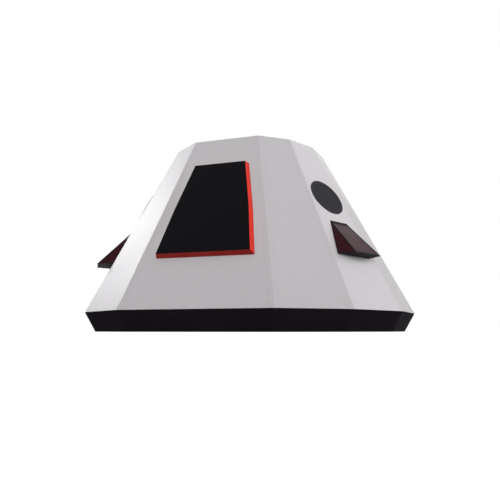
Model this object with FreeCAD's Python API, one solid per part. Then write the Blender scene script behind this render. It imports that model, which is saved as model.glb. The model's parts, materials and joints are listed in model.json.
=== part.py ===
# Crewed space capsule: a faceted white cone on a black skirt, with a raised side hatch.
# Origin at the centre of the flat underside, +Z up, the side hatch facing -Y.
# All lengths in millimetres, all angles in degrees.

import FreeCAD, Part
import math
import os

# Hull shell
facet_angle = 22.5            # turn from one hull corner to the next
side_panels = 7               # narrow panels on each side of the wide front panel
base_radius = 2000.0          # hull corner radius where it stands on the skirt
top_radius = 990.0            # hull corner radius at the top rim
hull_height = 1995.0
hull_wall = 60.0

# Skirt, heat shield and decks
skirt_height = 205.0
skirt_taper = 119.0           # how far the skirt draws in towards the floor
skirt_wall = 80.0             # measured level, from the outside to the cabin
skirt_lip = 14.0              # skirt rim that shows round the heat shield
shield_thickness = 70.0
floor_thickness = 45.0
deck_thickness = 60.0
tie_count = 6
tie_circle_radius = 1500.0
tie_hole_radius = 11.0
tie_hole_depth = 45.0

# Docking ring and its lid on the top deck
tunnel_radius = 400.0
tunnel_wall = 30.0
tunnel_drop_length = 60.0     # tube below the top deck
tunnel_rise_height = 100.0    # tube above the top deck
flange_width = 160.0          # bolting flange outside the tube
flange_thickness = 25.0
dock_bolt_count = 12
dock_bolt_margin = 40.0       # bolt circle inside the flange's edge
dock_bolt_hole_radius = 7.0
lid_overhang = 22.0           # lid edge outside the tube
lid_thickness = 30.0
lid_dome_height = 34.0
lid_skirt_depth = 22.0        # rim under the lid that centres it in the tunnel
lid_skirt_wall = 12.0
lid_skirt_clearance = 18.0
lid_hinge_offset = 42.0       # hinge pin behind the lid's edge
lid_hinge_width = 180.0
bracket_drop = 10.0           # lid hinge bracket below the tunnel's rim
bracket_height = 40.0
bracket_pad_thickness = 12.0

# Side hatch, measured on the front panel: across it, and up its slope
hatch_foot = 562.0
hatch_bend = 1115.0
hatch_head = 1772.0
hatch_foot_half = 510.0
hatch_bend_half = 429.0
hatch_head_half = 307.0
hatch_offset = 21.0           # from the panel's middle to the right
hatch_height = 90.0           # how far the hatch stands off the panel
hatch_gap = 8.0               # seal gap under the hatch frame
hatch_side_draft = 30.0
hatch_foot_draft = 4.0
hatch_head_draft = 48.0
hatch_face_thickness = 6.0
doorway_margin = 60.0         # from the hatch outline in to the doorway
doorway_clearance = 15.0      # from the doorway in to the plug
plug_depth = 60.0             # how far the plug reaches inwards of the outer skin
handle_length = 300.0
handle_reach = 55.0
handle_radius = 11.0
handle_inset = 140.0          # from the plug's edge at the bend in to the bar
handle_post_radius = 8.0

# Side hatch hinges
hinge_inset = 3.0             # pin line inside the hatch edge
hinge_head_clearance = 20.0   # from the knuckle up to the dark face
hinge_foot_distance = 200.0   # along the hatch edge from its foot
hinge_head_distance = 214.0   # along the hatch edge from its head
hinge_pin_radius = 8.0
hinge_knuckle_radius = 14.0
hinge_bore_clearance = 0.05
hinge_knuckle_length = 60.0
hinge_side_gap = 1.5
hinge_ear_thickness = 12.0
hinge_base_thickness = 10.0
hinge_base_width = 50.0
hinge_arm_thickness = 14.0
hinge_pocket_wall = 13.0      # frame left between a hinge pocket and the plug
hinge_pocket_margin = 18.0

# Portholes, on the third panel from the front on each side
porthole_panel = 2
porthole_pod_gap = 110.0      # up the slope from the pod's head to the porthole ring
porthole_pane_radius = 188.0
porthole_ledge_width = 10.0   # ledge under the pane's edge
porthole_sleeve_wall = 10.0
porthole_sleeve_gap = 0.3
porthole_ring_width = 32.0    # flat ring on the skin outside the hole
porthole_flange = 6.0
porthole_pane_thickness = 10.0
porthole_pane_sink = 6.0      # underside of the pane below the outer skin

# Sensor pods, a wedge under each porthole
pod_foot_rise = 558.0         # flat underside above the hull base
pod_height = 392.0
pod_reach = 176.0
pod_foot_half = 268.0
pod_outer_half = 200.0
pod_head_half = 136.0
pod_front_margin = 14.0
pod_head_margin = 45.0        # more at the head, where the wedge runs out thin
pod_side_margin = 10.0
pod_pocket = 8.0
pod_pane_thickness = 6.0

# Crew couches and the console between them
couch_console_gap = 60.0
couch_width = 520.0
couch_plate = 30.0
couch_seat_height = 260.0     # top of the seat plate above the floor
couch_front = -150.0
couch_seat_length = 480.0
couch_back_length = 860.0
couch_recline = 40.0
couch_leg_thickness = 24.0
couch_leg_inset = 70.0
cushion_gap = 0.3
cushion_thickness = 90.0
cushion_side_margin = 12.0
back_cushion_length = 560.0
head_cushion_length = 190.0
head_cushion_half = 150.0
head_cushion_gap = 20.0
console_half = 130.0
console_front = -260.0
console_back = 210.0
console_low = 420.0
console_high = 640.0
screen_margin = 28.0
screen_thickness = 8.0
screen_gap = 24.0

# Worked out from the sizes above
hull_foot = skirt_height
skirt_bottom_radius = base_radius - skirt_taper
tube_radius = tunnel_radius + tunnel_wall
flange_radius = tube_radius + flange_width
dock_bolt_circle_radius = flange_radius - dock_bolt_margin
lid_radius = tube_radius + lid_overhang
lid_hinge_reach = lid_radius + lid_hinge_offset
face_foot = hatch_height - hatch_face_thickness
plug_margin = doorway_margin + doorway_clearance
hinge_height = face_foot - hinge_head_clearance - hinge_knuckle_radius
porthole_hole_radius = porthole_pane_radius + porthole_sleeve_wall
porthole_ledge_radius = porthole_pane_radius - porthole_ledge_width
porthole_outer_radius = porthole_hole_radius + porthole_ring_width
pod_head_rise = pod_foot_rise + pod_height
couch_centre = console_half + couch_console_gap + couch_width / 2
hull_head = hull_foot + hull_height
corner_count = 2 * side_panels + 1
up = FreeCAD.Vector(0, 0, 1)


def vector(x, y, z):
    return FreeCAD.Vector(x, y, z)


def polyhedron(lower, upper):
    """Solid between two outlines with the same number of corners."""
    count = len(lower)
    faces = [Part.Face(Part.makePolygon(lower + lower[:1]))]
    faces.append(Part.Face(Part.makePolygon(upper + upper[:1])))
    for i in range(count):
        j = (i + 1) % count
        corners = [lower[i], lower[j], upper[j], upper[i]]
        faces.append(Part.Face(Part.makePolygon(corners + corners[:1])))
    solid = Part.Solid(Part.Shell(faces))
    if solid.Volume < 0:
        solid.reverse()
    return solid


def inset(outline, margins):
    """Flat outline, counter-clockwise, with each side moved inwards by its own margin."""
    count = len(outline)
    lines = []
    for i in range(count):
        x0, y0 = outline[i]
        x1, y1 = outline[(i + 1) % count]
        length = math.hypot(x1 - x0, y1 - y0)
        normal = (-(y1 - y0) / length, (x1 - x0) / length)
        lines.append((normal, normal[0] * x0 + normal[1] * y0 + margins[i]))
    moved = []
    for i in range(count):
        (a, b), p = lines[i - 1]
        (c, d), q = lines[i]
        det = a * d - b * c
        moved.append(((p * d - q * b) / det, (a * q - c * p) / det))
    return moved


class Facet:
    """Flat hull panel: u to the right seen from outside, v up its slope, n outwards."""

    def __init__(self, azimuth, half_angle):
        turn = math.radians(azimuth)
        share = math.cos(math.radians(half_angle))
        self.outward = vector(math.sin(turn), -math.cos(turn), 0)
        self.u = vector(math.cos(turn), math.sin(turn), 0)
        self.foot = self.outward * (base_radius * share) + up * hull_foot
        head = self.outward * (top_radius * share) + up * hull_head
        self.slope_length = (head - self.foot).Length
        self.v = (head - self.foot) * (1.0 / self.slope_length)
        self.n = self.u.cross(self.v)

    def point(self, u, v, n):
        return self.foot + self.u * u + self.v * v + self.n * n

    def level_radius(self, rise, depth=0.0):
        """Distance from the axis to the plane, at a height above the hull base."""
        slope = self.v.z
        run = self.foot.dot(self.outward) + rise / slope * self.v.dot(self.outward)
        return run - depth / self.n.dot(self.outward)

    def at_rise(self, across, rise, reach):
        """Point at a height above the hull base, standing off the plane level."""
        radius = self.level_radius(rise) + reach
        return self.outward * radius + self.u * across + up * (hull_foot + rise)

    def outline(self, points, n):
        return [self.point(u, v, n) for u, v in points]


front = Facet(0.0, facet_angle)


def side_azimuth(index):
    return facet_angle * (index + 0.5)


def make_facets():
    """All hull panels in order round the hull, from the front one to the right."""
    facets = [("hull_front", front)]
    half = facet_angle / 2
    for i in range(1, side_panels + 1):
        facets.append((f"hull_right_{i}", Facet(side_azimuth(i), half)))
    for i in range(side_panels, 0, -1):
        facets.append((f"hull_left_{i}", Facet(-side_azimuth(i), half)))
    return facets


facets = make_facets()


def ring_points(radii, z):
    """Corners where neighbouring panel lines meet, given each line's distance."""
    corners = []
    for i in range(corner_count):
        a = facets[i][1].outward
        b = facets[(i + 1) % corner_count][1].outward
        p = radii[i]
        q = radii[(i + 1) % corner_count]
        det = a.x * b.y - a.y * b.x
        corners.append(vector((p * b.y - q * a.y) / det, (a.x * q - b.x * p) / det, z))
    return corners


def hull_corners(rise, depth):
    radii = [facet.level_radius(rise, depth) for _, facet in facets]
    return ring_points(radii, hull_foot + rise)


def skirt_corners(z, depth):
    """Skirt outline at a height, moved inwards level by a depth."""
    corner = skirt_bottom_radius + (base_radius - skirt_bottom_radius) * z / skirt_height
    radii = []
    for _, facet in facets:
        radii.append(corner * facet.foot.dot(facet.outward) / base_radius - depth)
    return ring_points(radii, z)


def make_panel(index):
    """One hull panel, mitred to its neighbours."""
    outer_low = hull_corners(0.0, 0.0)
    outer_high = hull_corners(hull_height, 0.0)
    inner_low = hull_corners(0.0, hull_wall)
    inner_high = hull_corners(hull_height, hull_wall)
    a = (index - 1) % corner_count
    b = index
    low = [outer_low[a], outer_low[b], inner_low[b], inner_low[a]]
    high = [outer_high[a], outer_high[b], inner_high[b], inner_high[a]]
    return polyhedron(low, high)


# Side hatch outlines
def hatch_outline(margin, n=0.0):
    """Hatch outline on the front panel, drafted to a height and moved inwards."""
    base = [
        (hatch_offset - hatch_foot_half, hatch_foot),
        (hatch_offset + hatch_foot_half, hatch_foot),
        (hatch_offset + hatch_bend_half, hatch_bend),
        (hatch_offset + hatch_head_half, hatch_head),
        (hatch_offset - hatch_head_half, hatch_head),
        (hatch_offset - hatch_bend_half, hatch_bend),
    ]
    share = n / hatch_height
    side = hatch_side_draft * share + margin
    foot = hatch_foot_draft * share + margin
    head = hatch_head_draft * share + margin
    return inset(base, [foot, side, side, head, side, side])


def hatch_prism(margin, n_low, n_high, drafted=False):
    """Block with the hatch outline between two heights, with its sides drafted or upright."""
    low = hatch_outline(margin, n_low if drafted else 0.0)
    high = hatch_outline(margin, n_high if drafted else 0.0)
    return polyhedron(front.outline(low, n_low), front.outline(high, n_high))


class HingeLine:
    """Frame of the side hatch hinge: w inwards from the pin, s up along it, n outwards."""

    def __init__(self):
        foot = front.point(hatch_offset - hatch_foot_half, hatch_foot, 0)
        head = front.point(hatch_offset - hatch_head_half, hatch_head, 0)
        self.length = (head - foot).Length
        self.s = (head - foot).normalize()
        self.w = self.s.cross(front.n)
        self.origin = foot + self.w * hinge_inset + front.n * hinge_height

    def point(self, w, s, n):
        return self.origin + self.w * w + self.s * s + front.n * n

    def block(self, w_low, w_high, s_low, s_high, n_low, n_high):
        low = []
        high = []
        for w, s in [(w_low, s_low), (w_high, s_low), (w_high, s_high), (w_low, s_high)]:
            low.append(self.point(w, s, n_low))
            high.append(self.point(w, s, n_high))
        return polyhedron(low, high)

    def rod(self, radius, s_low, s_high):
        return Part.makeCylinder(radius, s_high - s_low, self.point(0, s_low, 0), self.s)


hinge = HingeLine()
hinge_places = [hinge_foot_distance, hinge.length - hinge_head_distance]
hinge_half = hinge_knuckle_length / 2 + hinge_side_gap + hinge_ear_thickness
pocket_inner = plug_margin - hinge_pocket_wall - hinge_inset


def make_hatch_hinge_brackets():
    """Two white brackets on the front panel, each with two ears and the fixed pin."""
    brackets = []
    for place in hinge_places:
        base_low = -hinge_knuckle_radius
        base_high = base_low + hinge_base_width
        low = place - hinge_half
        high = place + hinge_half
        foot = -hinge_height
        base = hinge.block(base_low, base_high, low, high, foot, foot + hinge_base_thickness)
        solid = base
        for start in (low, high - hinge_ear_thickness):
            end = start + hinge_ear_thickness
            reach = hinge_knuckle_radius
            ear = hinge.block(-reach, reach, start, end, foot, 0)
            solid = solid.fuse(ear).fuse(hinge.rod(hinge_knuckle_radius, start, end))
        solid = solid.fuse(hinge.rod(hinge_pin_radius, low, high))
        brackets.append(solid.removeSplitter())
    return Part.makeCompound(brackets)


def make_hatch_hinge_arms():
    """Two arms on the hatch: a knuckle round the pin and a flat leaf to the frame."""
    arms = []
    half = hinge_knuckle_length / 2
    for place in hinge_places:
        knuckle = hinge.rod(hinge_knuckle_radius, place - half, place + half)
        leaf_half = hinge_arm_thickness / 2
        leaf = hinge.block(0, pocket_inner, place - half, place + half, -leaf_half, leaf_half)
        bore = hinge.rod(hinge_pin_radius + hinge_bore_clearance, place - half, place + half)
        arms.append(knuckle.fuse(leaf).cut(bore).removeSplitter())
    return Part.makeCompound(arms)


def make_hatch_frame():
    """Thick frame with drafted sides under the dark face, and two hinge pockets."""
    frame = hatch_prism(0.0, hatch_gap, face_foot, drafted=True)
    frame = frame.cut(hatch_prism(plug_margin, 0.0, hatch_height))
    outside = -hatch_foot_half
    for place in hinge_places:
        reach = hinge_half + hinge_pocket_margin
        pocket_foot = -hinge_height
        pocket_head = face_foot - hinge_height
        pocket = hinge.block(outside, pocket_inner, place - reach, place + reach,
                             pocket_foot, pocket_head)
        frame = frame.cut(pocket)
    return frame


def make_hatch_face():
    """Dark face over the whole frame, its edges in line with the frame's sides."""
    return hatch_prism(0.0, face_foot, hatch_height, drafted=True)


def make_hatch_plug():
    return hatch_prism(plug_margin, -plug_depth, face_foot)


def make_hatch_handle():
    """Grab bar with two posts on the inside of the plug, near the free edge."""
    across = hatch_offset + hatch_bend_half - plug_margin - handle_inset
    middle = (hatch_foot + hatch_head) / 2
    inside = -plug_depth
    low = middle - handle_length / 2
    high = middle + handle_length / 2
    bar_start = front.point(across, low - handle_radius, inside - handle_reach)
    bar = Part.makeCylinder(handle_radius, handle_length + 2 * handle_radius, bar_start, front.v)
    for place in (low, high):
        post = Part.makeCylinder(handle_post_radius, handle_reach,
                                 front.point(across, place, inside), front.n * -1)
        bar = bar.fuse(post)
    return bar.removeSplitter()


def make_hull_front():
    doorway = hatch_prism(doorway_margin, -2 * hull_wall, hull_wall)
    return make_panel(0).cut(doorway)


def porthole_rod(facet, radius, n_low, n_high):
    """Round bar square to the panel, its centre a set distance up from the pod's head."""
    centre = pod_head_rise / facet.v.z + porthole_pod_gap + porthole_outer_radius
    return Part.makeCylinder(radius, n_high - n_low, facet.point(0, centre, n_low), facet.n)


def make_porthole_frame(facet):
    """Flat ring on the skin with a sleeve through the wall and a ledge for the pane."""
    sleeve_radius = porthole_hole_radius - porthole_sleeve_gap
    frame = porthole_rod(facet, sleeve_radius, -hull_wall, porthole_flange)
    frame = frame.fuse(porthole_rod(facet, porthole_outer_radius, 0, porthole_flange))
    seat = porthole_pane_radius + porthole_sleeve_gap
    frame = frame.cut(porthole_rod(facet, seat, -porthole_pane_sink, porthole_flange + 1))
    frame = frame.cut(porthole_rod(facet, porthole_ledge_radius, -hull_wall - 1, 1))
    return frame.removeSplitter()


def make_porthole_pane(facet):
    foot = -porthole_pane_sink
    return porthole_rod(facet, porthole_pane_radius, foot, foot + porthole_pane_thickness)


def pod_corners(facet):
    """Wedge corners: inner foot, outer foot and head, left then right."""
    corners = []
    for sign in (-1, 1):
        corners.append(facet.at_rise(sign * pod_foot_half, pod_foot_rise, 0))
        corners.append(facet.at_rise(sign * pod_outer_half, pod_foot_rise, pod_reach))
        corners.append(facet.at_rise(sign * pod_head_half, pod_head_rise, 0))
    return corners


def pane_slab(corners, margins, depth_low, depth_high):
    """Slab under a flat face of the pod, its outline moved inwards from the edges."""
    origin = corners[0]
    along = (corners[1] - origin).normalize()
    normal = along.cross(corners[2] - origin).normalize()
    across = normal.cross(along)
    flat = [((c - origin).dot(along), (c - origin).dot(across)) for c in corners]
    moved = inset(flat, margins)
    low = [origin + along * x + across * y - normal * depth_high for x, y in moved]
    high = [origin + along * x + across * y - normal * depth_low for x, y in moved]
    return polyhedron(low, high)


def pod_faces(facet):
    """Front face and two sides, each counter-clockwise from outside, with its margins."""
    foot_left, outer_left, head_left, foot_right, outer_right, head_right = pod_corners(facet)
    edge = pod_front_margin
    side_margins = [pod_side_margin] * 3
    return [
        ([outer_left, outer_right, head_right, head_left], [edge, edge, pod_head_margin, edge]),
        ([outer_right, foot_right, head_right], side_margins),
        ([foot_left, outer_left, head_left], side_margins),
    ]


def make_pod_frame(facet):
    foot_left, outer_left, head_left, foot_right, outer_right, head_right = pod_corners(facet)
    loops = [
        [foot_left, foot_right, outer_right, outer_left],
        [outer_left, outer_right, head_right, head_left],
        [foot_left, foot_right, head_right, head_left],
        [outer_right, foot_right, head_right],
        [foot_left, outer_left, head_left],
    ]
    faces = [Part.Face(Part.makePolygon(loop + loop[:1])) for loop in loops]
    frame = Part.Solid(Part.Shell(faces))
    if frame.Volume < 0:
        frame.reverse()
    for corners, margins in pod_faces(facet):
        frame = frame.cut(pane_slab(corners, margins, -1, pod_pocket))
    return frame


def make_pod_panes(facet):
    panes = []
    top = pod_pocket - pod_pane_thickness
    for corners, margins in pod_faces(facet):
        panes.append(pane_slab(corners, margins, top, pod_pocket))
    return Part.makeCompound(panes)


# Skirt, heat shield and decks
def make_base_skirt():
    """Skirt with a ledge that the heat shield seats against."""
    skirt = polyhedron(skirt_corners(0, 0), skirt_corners(skirt_height, 0))
    shield_space = polyhedron(skirt_corners(0, skirt_lip),
                              skirt_corners(shield_thickness, skirt_lip))
    cabin = polyhedron(skirt_corners(shield_thickness, skirt_wall),
                       skirt_corners(skirt_height, skirt_wall))
    return skirt.cut(shield_space).cut(cabin)


def make_heat_shield():
    """Flat grey underside with blind holes for the tie bolts."""
    shield = polyhedron(skirt_corners(0, skirt_lip), skirt_corners(shield_thickness, skirt_lip))
    for i in range(tie_count):
        turn = math.radians(360.0 / tie_count * (i + 0.5))
        foot = vector(tie_circle_radius * math.cos(turn), tie_circle_radius * math.sin(turn), 0)
        shield = shield.cut(Part.makeCylinder(tie_hole_radius, tie_hole_depth, foot, up))
    return shield


def make_floor_deck():
    foot = skirt_height - floor_thickness
    return polyhedron(skirt_corners(foot, skirt_wall), skirt_corners(skirt_height, skirt_wall))


def make_top_deck():
    foot = hull_height - deck_thickness
    deck = polyhedron(hull_corners(foot, hull_wall), hull_corners(hull_height, hull_wall))
    hole = Part.makeCylinder(tube_radius, hull_height, vector(0, 0, hull_foot + foot - 1), up)
    return deck.cut(hole)


tunnel_head = hull_head + tunnel_rise_height


def make_docking_ring():
    """Tunnel tube through the top deck with a wide bolting flange on the deck."""
    foot = hull_head - deck_thickness - tunnel_drop_length
    ring = Part.makeCylinder(tube_radius, tunnel_head - foot, vector(0, 0, foot), up)
    ring = ring.fuse(Part.makeCylinder(flange_radius, flange_thickness,
                                       vector(0, 0, hull_head), up))
    ring = ring.cut(Part.makeCylinder(tunnel_radius, tunnel_head - foot + 2,
                                      vector(0, 0, foot - 1), up))
    for i in range(dock_bolt_count):
        turn = math.radians(360.0 / dock_bolt_count * (i + 0.5))
        place = vector(dock_bolt_circle_radius * math.cos(turn),
                       dock_bolt_circle_radius * math.sin(turn), hull_head)
        ring = ring.cut(Part.makeCylinder(dock_bolt_hole_radius, flange_thickness, place, up))
    return ring.removeSplitter()


lid_foot = tunnel_head + cushion_gap
lid_pin_height = lid_foot + lid_thickness / 2


def box(x_low, x_high, y_low, y_high, z_low, z_high):
    return Part.makeBox(x_high - x_low, y_high - y_low, z_high - z_low,
                        vector(x_low, y_low, z_low))


def rod_x(radius, x_low, x_high, y, z):
    return Part.makeCylinder(radius, x_high - x_low, vector(x_low, y, z), vector(1, 0, 0))


def make_docking_lid():
    """Round lid with a low dome and a centring rim that hangs in the tunnel."""
    dome_radius = lid_radius - 2 * lid_dome_height
    lid = Part.makeCylinder(lid_radius, lid_thickness, vector(0, 0, lid_foot), up)
    dome = Part.makeCone(dome_radius, dome_radius - 2 * lid_dome_height, lid_dome_height,
                         vector(0, 0, lid_foot + lid_thickness), up)
    rim_radius = tunnel_radius - lid_skirt_clearance
    rim = Part.makeCylinder(rim_radius, lid_skirt_depth, vector(0, 0, lid_foot - lid_skirt_depth),
                            up)
    rim = rim.cut(Part.makeCylinder(rim_radius - lid_skirt_wall, lid_skirt_depth,
                                    vector(0, 0, lid_foot - lid_skirt_depth), up))
    return lid.fuse(dome).fuse(rim).removeSplitter()


def make_docking_hinge_bracket():
    """Pad on the tunnel tube with two ears that carry the fixed pin."""
    half = lid_hinge_width / 2
    foot = tunnel_head - bracket_drop - bracket_height
    head = tunnel_head - bracket_drop
    back = lid_hinge_reach + hinge_knuckle_radius
    solid = box(-half, half, 0, tube_radius + bracket_pad_thickness, foot, head)
    solid = solid.cut(Part.makeCylinder(tube_radius, tunnel_head, vector(0, 0, 0), up))
    for low in (-half, half - hinge_ear_thickness):
        high = low + hinge_ear_thickness
        solid = solid.fuse(box(low, high, tube_radius, back, foot, head))
        solid = solid.fuse(box(low, high, lid_hinge_reach - hinge_knuckle_radius, back, foot,
                               lid_pin_height))
        solid = solid.fuse(rod_x(hinge_knuckle_radius, low, high, lid_hinge_reach,
                                 lid_pin_height))
    pin = rod_x(hinge_pin_radius, -half, half, lid_hinge_reach, lid_pin_height)
    return solid.fuse(pin).removeSplitter()


def make_docking_lid_arm():
    """Knuckle round the lid's pin with a leaf that runs onto the top of the lid."""
    half = lid_hinge_width / 2 - hinge_ear_thickness - hinge_side_gap
    top = lid_foot + lid_thickness
    knuckle = rod_x(hinge_knuckle_radius, -half, half, lid_hinge_reach, lid_pin_height)
    rise = box(-half, half, lid_radius + hinge_side_gap, lid_hinge_reach, lid_foot, top)
    dome_edge = lid_radius - 2 * lid_dome_height
    leaf = box(-half, half, dome_edge + hinge_side_gap, lid_hinge_reach, top,
               top + hinge_arm_thickness)
    bore = rod_x(hinge_pin_radius + hinge_bore_clearance, -half, half, lid_hinge_reach,
                 lid_pin_height)
    return knuckle.fuse(rise).fuse(leaf).cut(bore).removeSplitter()


def make_docking_lid_handle():
    """Round grab bar with two posts on the dome."""
    top = lid_foot + lid_thickness + lid_dome_height
    half = handle_length / 2
    bar = rod_x(handle_radius, -half - handle_radius, half + handle_radius, 0, top + handle_reach)
    for x in (-half, half):
        bar = bar.fuse(Part.makeCylinder(handle_post_radius, handle_reach, vector(x, 0, top), up))
    return bar.removeSplitter()


# Couches and console, drawn in profile and widened across the cabin
def profile(points, x_low, x_high):
    low = [vector(x_low, y, z) for y, z in points]
    high = [vector(x_high, y, z) for y, z in points]
    return polyhedron(low, high)


recline = math.radians(couch_recline)
back_along = (math.sin(recline), math.cos(recline))
back_normal = (-math.cos(recline), math.sin(recline))
seat_top = skirt_height + couch_seat_height
seat_end = couch_front + couch_seat_length


def back_point(along, out):
    """Point beside the back plate: up along it from the seat, and out towards the crew."""
    y = seat_end + back_along[0] * along + back_normal[0] * out
    z = seat_top + back_along[1] * along + back_normal[1] * out
    return (y, z)


def back_slab(start, end, out_low, out_high, x_low, x_high):
    points = [back_point(start, out_low), back_point(end, out_low),
              back_point(end, out_high), back_point(start, out_high)]
    return profile(points, x_low, x_high)


def make_couch_frame(x):
    """Bent seat and back plate on two leg plates down to the floor."""
    low = x - couch_width / 2
    high = x + couch_width / 2
    bend = -couch_plate * (1 - math.sin(recline)) / math.cos(recline)
    plate = [
        (couch_front, seat_top - couch_plate),
        back_point(bend, -couch_plate),
        back_point(couch_back_length, -couch_plate),
        back_point(couch_back_length, 0),
        (seat_end, seat_top),
        (couch_front, seat_top),
    ]
    frame = profile(plate, low, high)
    strut_head = back_point(couch_back_length / 2, -couch_plate / 2)
    legs = [
        (couch_front + couch_leg_inset, skirt_height),
        (strut_head[0], skirt_height),
        strut_head,
        back_point(0, -couch_plate / 2),
        (couch_front + couch_leg_inset, seat_top - couch_plate / 2),
    ]
    for side in (low + couch_leg_inset, high - couch_leg_inset - couch_leg_thickness):
        frame = frame.fuse(profile(legs, side, side + couch_leg_thickness))
    return frame.removeSplitter()


def make_couch_cushions(x):
    """Seat, back and head cushions, each just off its plate."""
    low = x - couch_width / 2 + cushion_side_margin
    high = x + couch_width / 2 - cushion_side_margin
    seat_room = cushion_thickness / math.cos(recline)
    seat = box(low, high, couch_front, seat_end - seat_room, seat_top + cushion_gap,
               seat_top + cushion_gap + cushion_thickness)
    start = cushion_side_margin
    end = start + back_cushion_length
    back = back_slab(start, end, cushion_gap, cushion_gap + cushion_thickness, low, high)
    head_start = end + head_cushion_gap
    head = back_slab(head_start, head_start + head_cushion_length, cushion_gap,
                     cushion_gap + cushion_thickness, x - head_cushion_half,
                     x + head_cushion_half)
    return Part.makeCompound([seat, back, head])


console_slope = [(console_back, skirt_height + console_low),
                 (console_front, skirt_height + console_high)]


def make_console():
    """Pedestal between the couches with a sloped top towards the crew."""
    points = [(console_front, skirt_height), (console_back, skirt_height)] + console_slope
    return profile(points, -console_half, console_half)


def make_console_screens():
    """Two flat screens lying on the sloped top, one in front of the other."""
    (y0, z0), (y1, z1) = console_slope
    length = math.hypot(y1 - y0, z1 - z0)
    along = ((y1 - y0) / length, (z1 - z0) / length)
    out = (-along[1], along[0])
    if out[1] < 0:
        out = (along[1], -along[0])
    screen = (length - 2 * screen_margin - screen_gap) / 2
    screens = []
    for i in range(2):
        start = screen_margin + i * (screen + screen_gap)
        points = []
        for a, o in ((start, 0), (start + screen, 0), (start + screen, screen_thickness),
                     (start, screen_thickness)):
            points.append((y0 + along[0] * a + out[0] * o, z0 + along[1] * a + out[1] * o))
        screens.append(profile(points, -console_half + screen_margin,
                               console_half - screen_margin))
    return Part.makeCompound(screens)


# Every piece under its own name
def make_pieces():
    pieces = {}
    pieces["heat_shield"] = make_heat_shield()
    pieces["base_skirt"] = make_base_skirt()
    pieces["floor_deck"] = make_floor_deck()
    for index, (name, facet) in enumerate(facets):
        pieces[name] = make_panel(index)
    pieces["hull_front"] = make_hull_front()
    for side in ("right", "left"):
        name = f"hull_{side}_{porthole_panel}"
        facet = dict(facets)[name]
        hole = porthole_rod(facet, porthole_hole_radius, -2 * hull_wall, hull_wall)
        pieces[name] = pieces[name].cut(hole)
        pieces[f"porthole_frame_{side}"] = make_porthole_frame(facet)
        pieces[f"porthole_pane_{side}"] = make_porthole_pane(facet)
        pieces[f"pod_frame_{side}"] = make_pod_frame(facet)
        pieces[f"pod_panes_{side}"] = make_pod_panes(facet)
        x = couch_centre if side == "right" else -couch_centre
        pieces[f"couch_frame_{side}"] = make_couch_frame(x)
        pieces[f"couch_cushions_{side}"] = make_couch_cushions(x)
    pieces["console"] = make_console()
    pieces["console_screens"] = make_console_screens()
    pieces["top_deck"] = make_top_deck()
    pieces["docking_ring"] = make_docking_ring()
    pieces["docking_hinge_bracket"] = make_docking_hinge_bracket()
    pieces["docking_lid"] = make_docking_lid()
    pieces["docking_lid_arm"] = make_docking_lid_arm()
    pieces["docking_lid_handle"] = make_docking_lid_handle()
    pieces["hatch_hinge_brackets"] = make_hatch_hinge_brackets()
    pieces["hatch_hinge_arms"] = make_hatch_hinge_arms()
    pieces["hatch_frame"] = make_hatch_frame()
    pieces["hatch_face"] = make_hatch_face()
    pieces["hatch_plug"] = make_hatch_plug()
    pieces["hatch_handle"] = make_hatch_handle()
    return pieces


os.makedirs("parts", exist_ok=True)
pieces = make_pieces()
for name, shape in pieces.items():
    shape.exportStep(f"parts/{name}.step")
    solids = len(shape.Solids)
    print(name, "solids", solids, "valid", shape.isValid(), "volume", round(shape.Volume))
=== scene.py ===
"""Looks of the space capsule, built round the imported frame.

Metres throughout. +Z is up and the side hatch faces -Y, as in the frame.
"""
import json
import math

import bmesh
import bpy
import numpy as np
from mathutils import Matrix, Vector
from mathutils.bvhtree import BVHTree


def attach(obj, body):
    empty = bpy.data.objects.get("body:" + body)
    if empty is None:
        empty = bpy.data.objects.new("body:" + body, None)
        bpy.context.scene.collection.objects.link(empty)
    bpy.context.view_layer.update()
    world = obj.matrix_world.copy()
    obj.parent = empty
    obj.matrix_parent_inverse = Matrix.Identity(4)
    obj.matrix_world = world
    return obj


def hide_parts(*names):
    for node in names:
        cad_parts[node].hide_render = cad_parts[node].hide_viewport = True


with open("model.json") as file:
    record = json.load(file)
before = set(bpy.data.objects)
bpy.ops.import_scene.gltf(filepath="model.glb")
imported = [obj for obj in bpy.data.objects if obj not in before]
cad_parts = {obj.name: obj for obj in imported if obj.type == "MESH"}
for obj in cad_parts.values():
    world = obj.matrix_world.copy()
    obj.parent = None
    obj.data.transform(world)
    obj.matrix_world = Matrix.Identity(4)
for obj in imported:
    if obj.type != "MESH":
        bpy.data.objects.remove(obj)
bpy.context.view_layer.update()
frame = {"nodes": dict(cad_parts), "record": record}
nodes = frame["nodes"]
scene = bpy.context.scene
finishes = {}

# Sizes that the looks share with the frame
FACET = math.radians(22.5)
HULL_FOOT, HULL_HEAD, HULL_WALL = 0.205, 2.200, 0.060
SKIRT_RADIUS, BASE_RADIUS, TOP_RADIUS = 1.881, 2.000, 0.990
HULL = ((BASE_RADIUS, HULL_FOOT), (TOP_RADIUS, HULL_HEAD))
SKIRT = ((SKIRT_RADIUS, 0.0), (BASE_RADIUS, HULL_FOOT))
TAPER = (BASE_RADIUS - TOP_RADIUS) / (HULL_HEAD - HULL_FOOT)
PANELS = [(0.0, FACET)] + [(sign * 22.5 * (i + 0.5), FACET / 2)
                           for sign in (1, -1) for i in range(1, 8)]
PORTHOLE_AZIMUTHS, PORTHOLE_RISE = (56.25, -56.25), 1.4006
LOCKER_AZIMUTHS = (101.25, 123.75, 146.25, -101.25, -123.75, -146.25)
CEILING, FLANGE_TOP, LID_TOP = 2.140, 2.225, 2.3303
HATCH_TOP, PLUG_DEPTH, DOORWAY_MARGIN = 0.090, 0.060, 0.060
HATCH_OUTLINE = np.array([(-0.510, 0.562), (0.510, 0.562), (0.429, 1.115),
                          (0.307, 1.772), (-0.307, 1.772), (-0.429, 1.115)])
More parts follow.
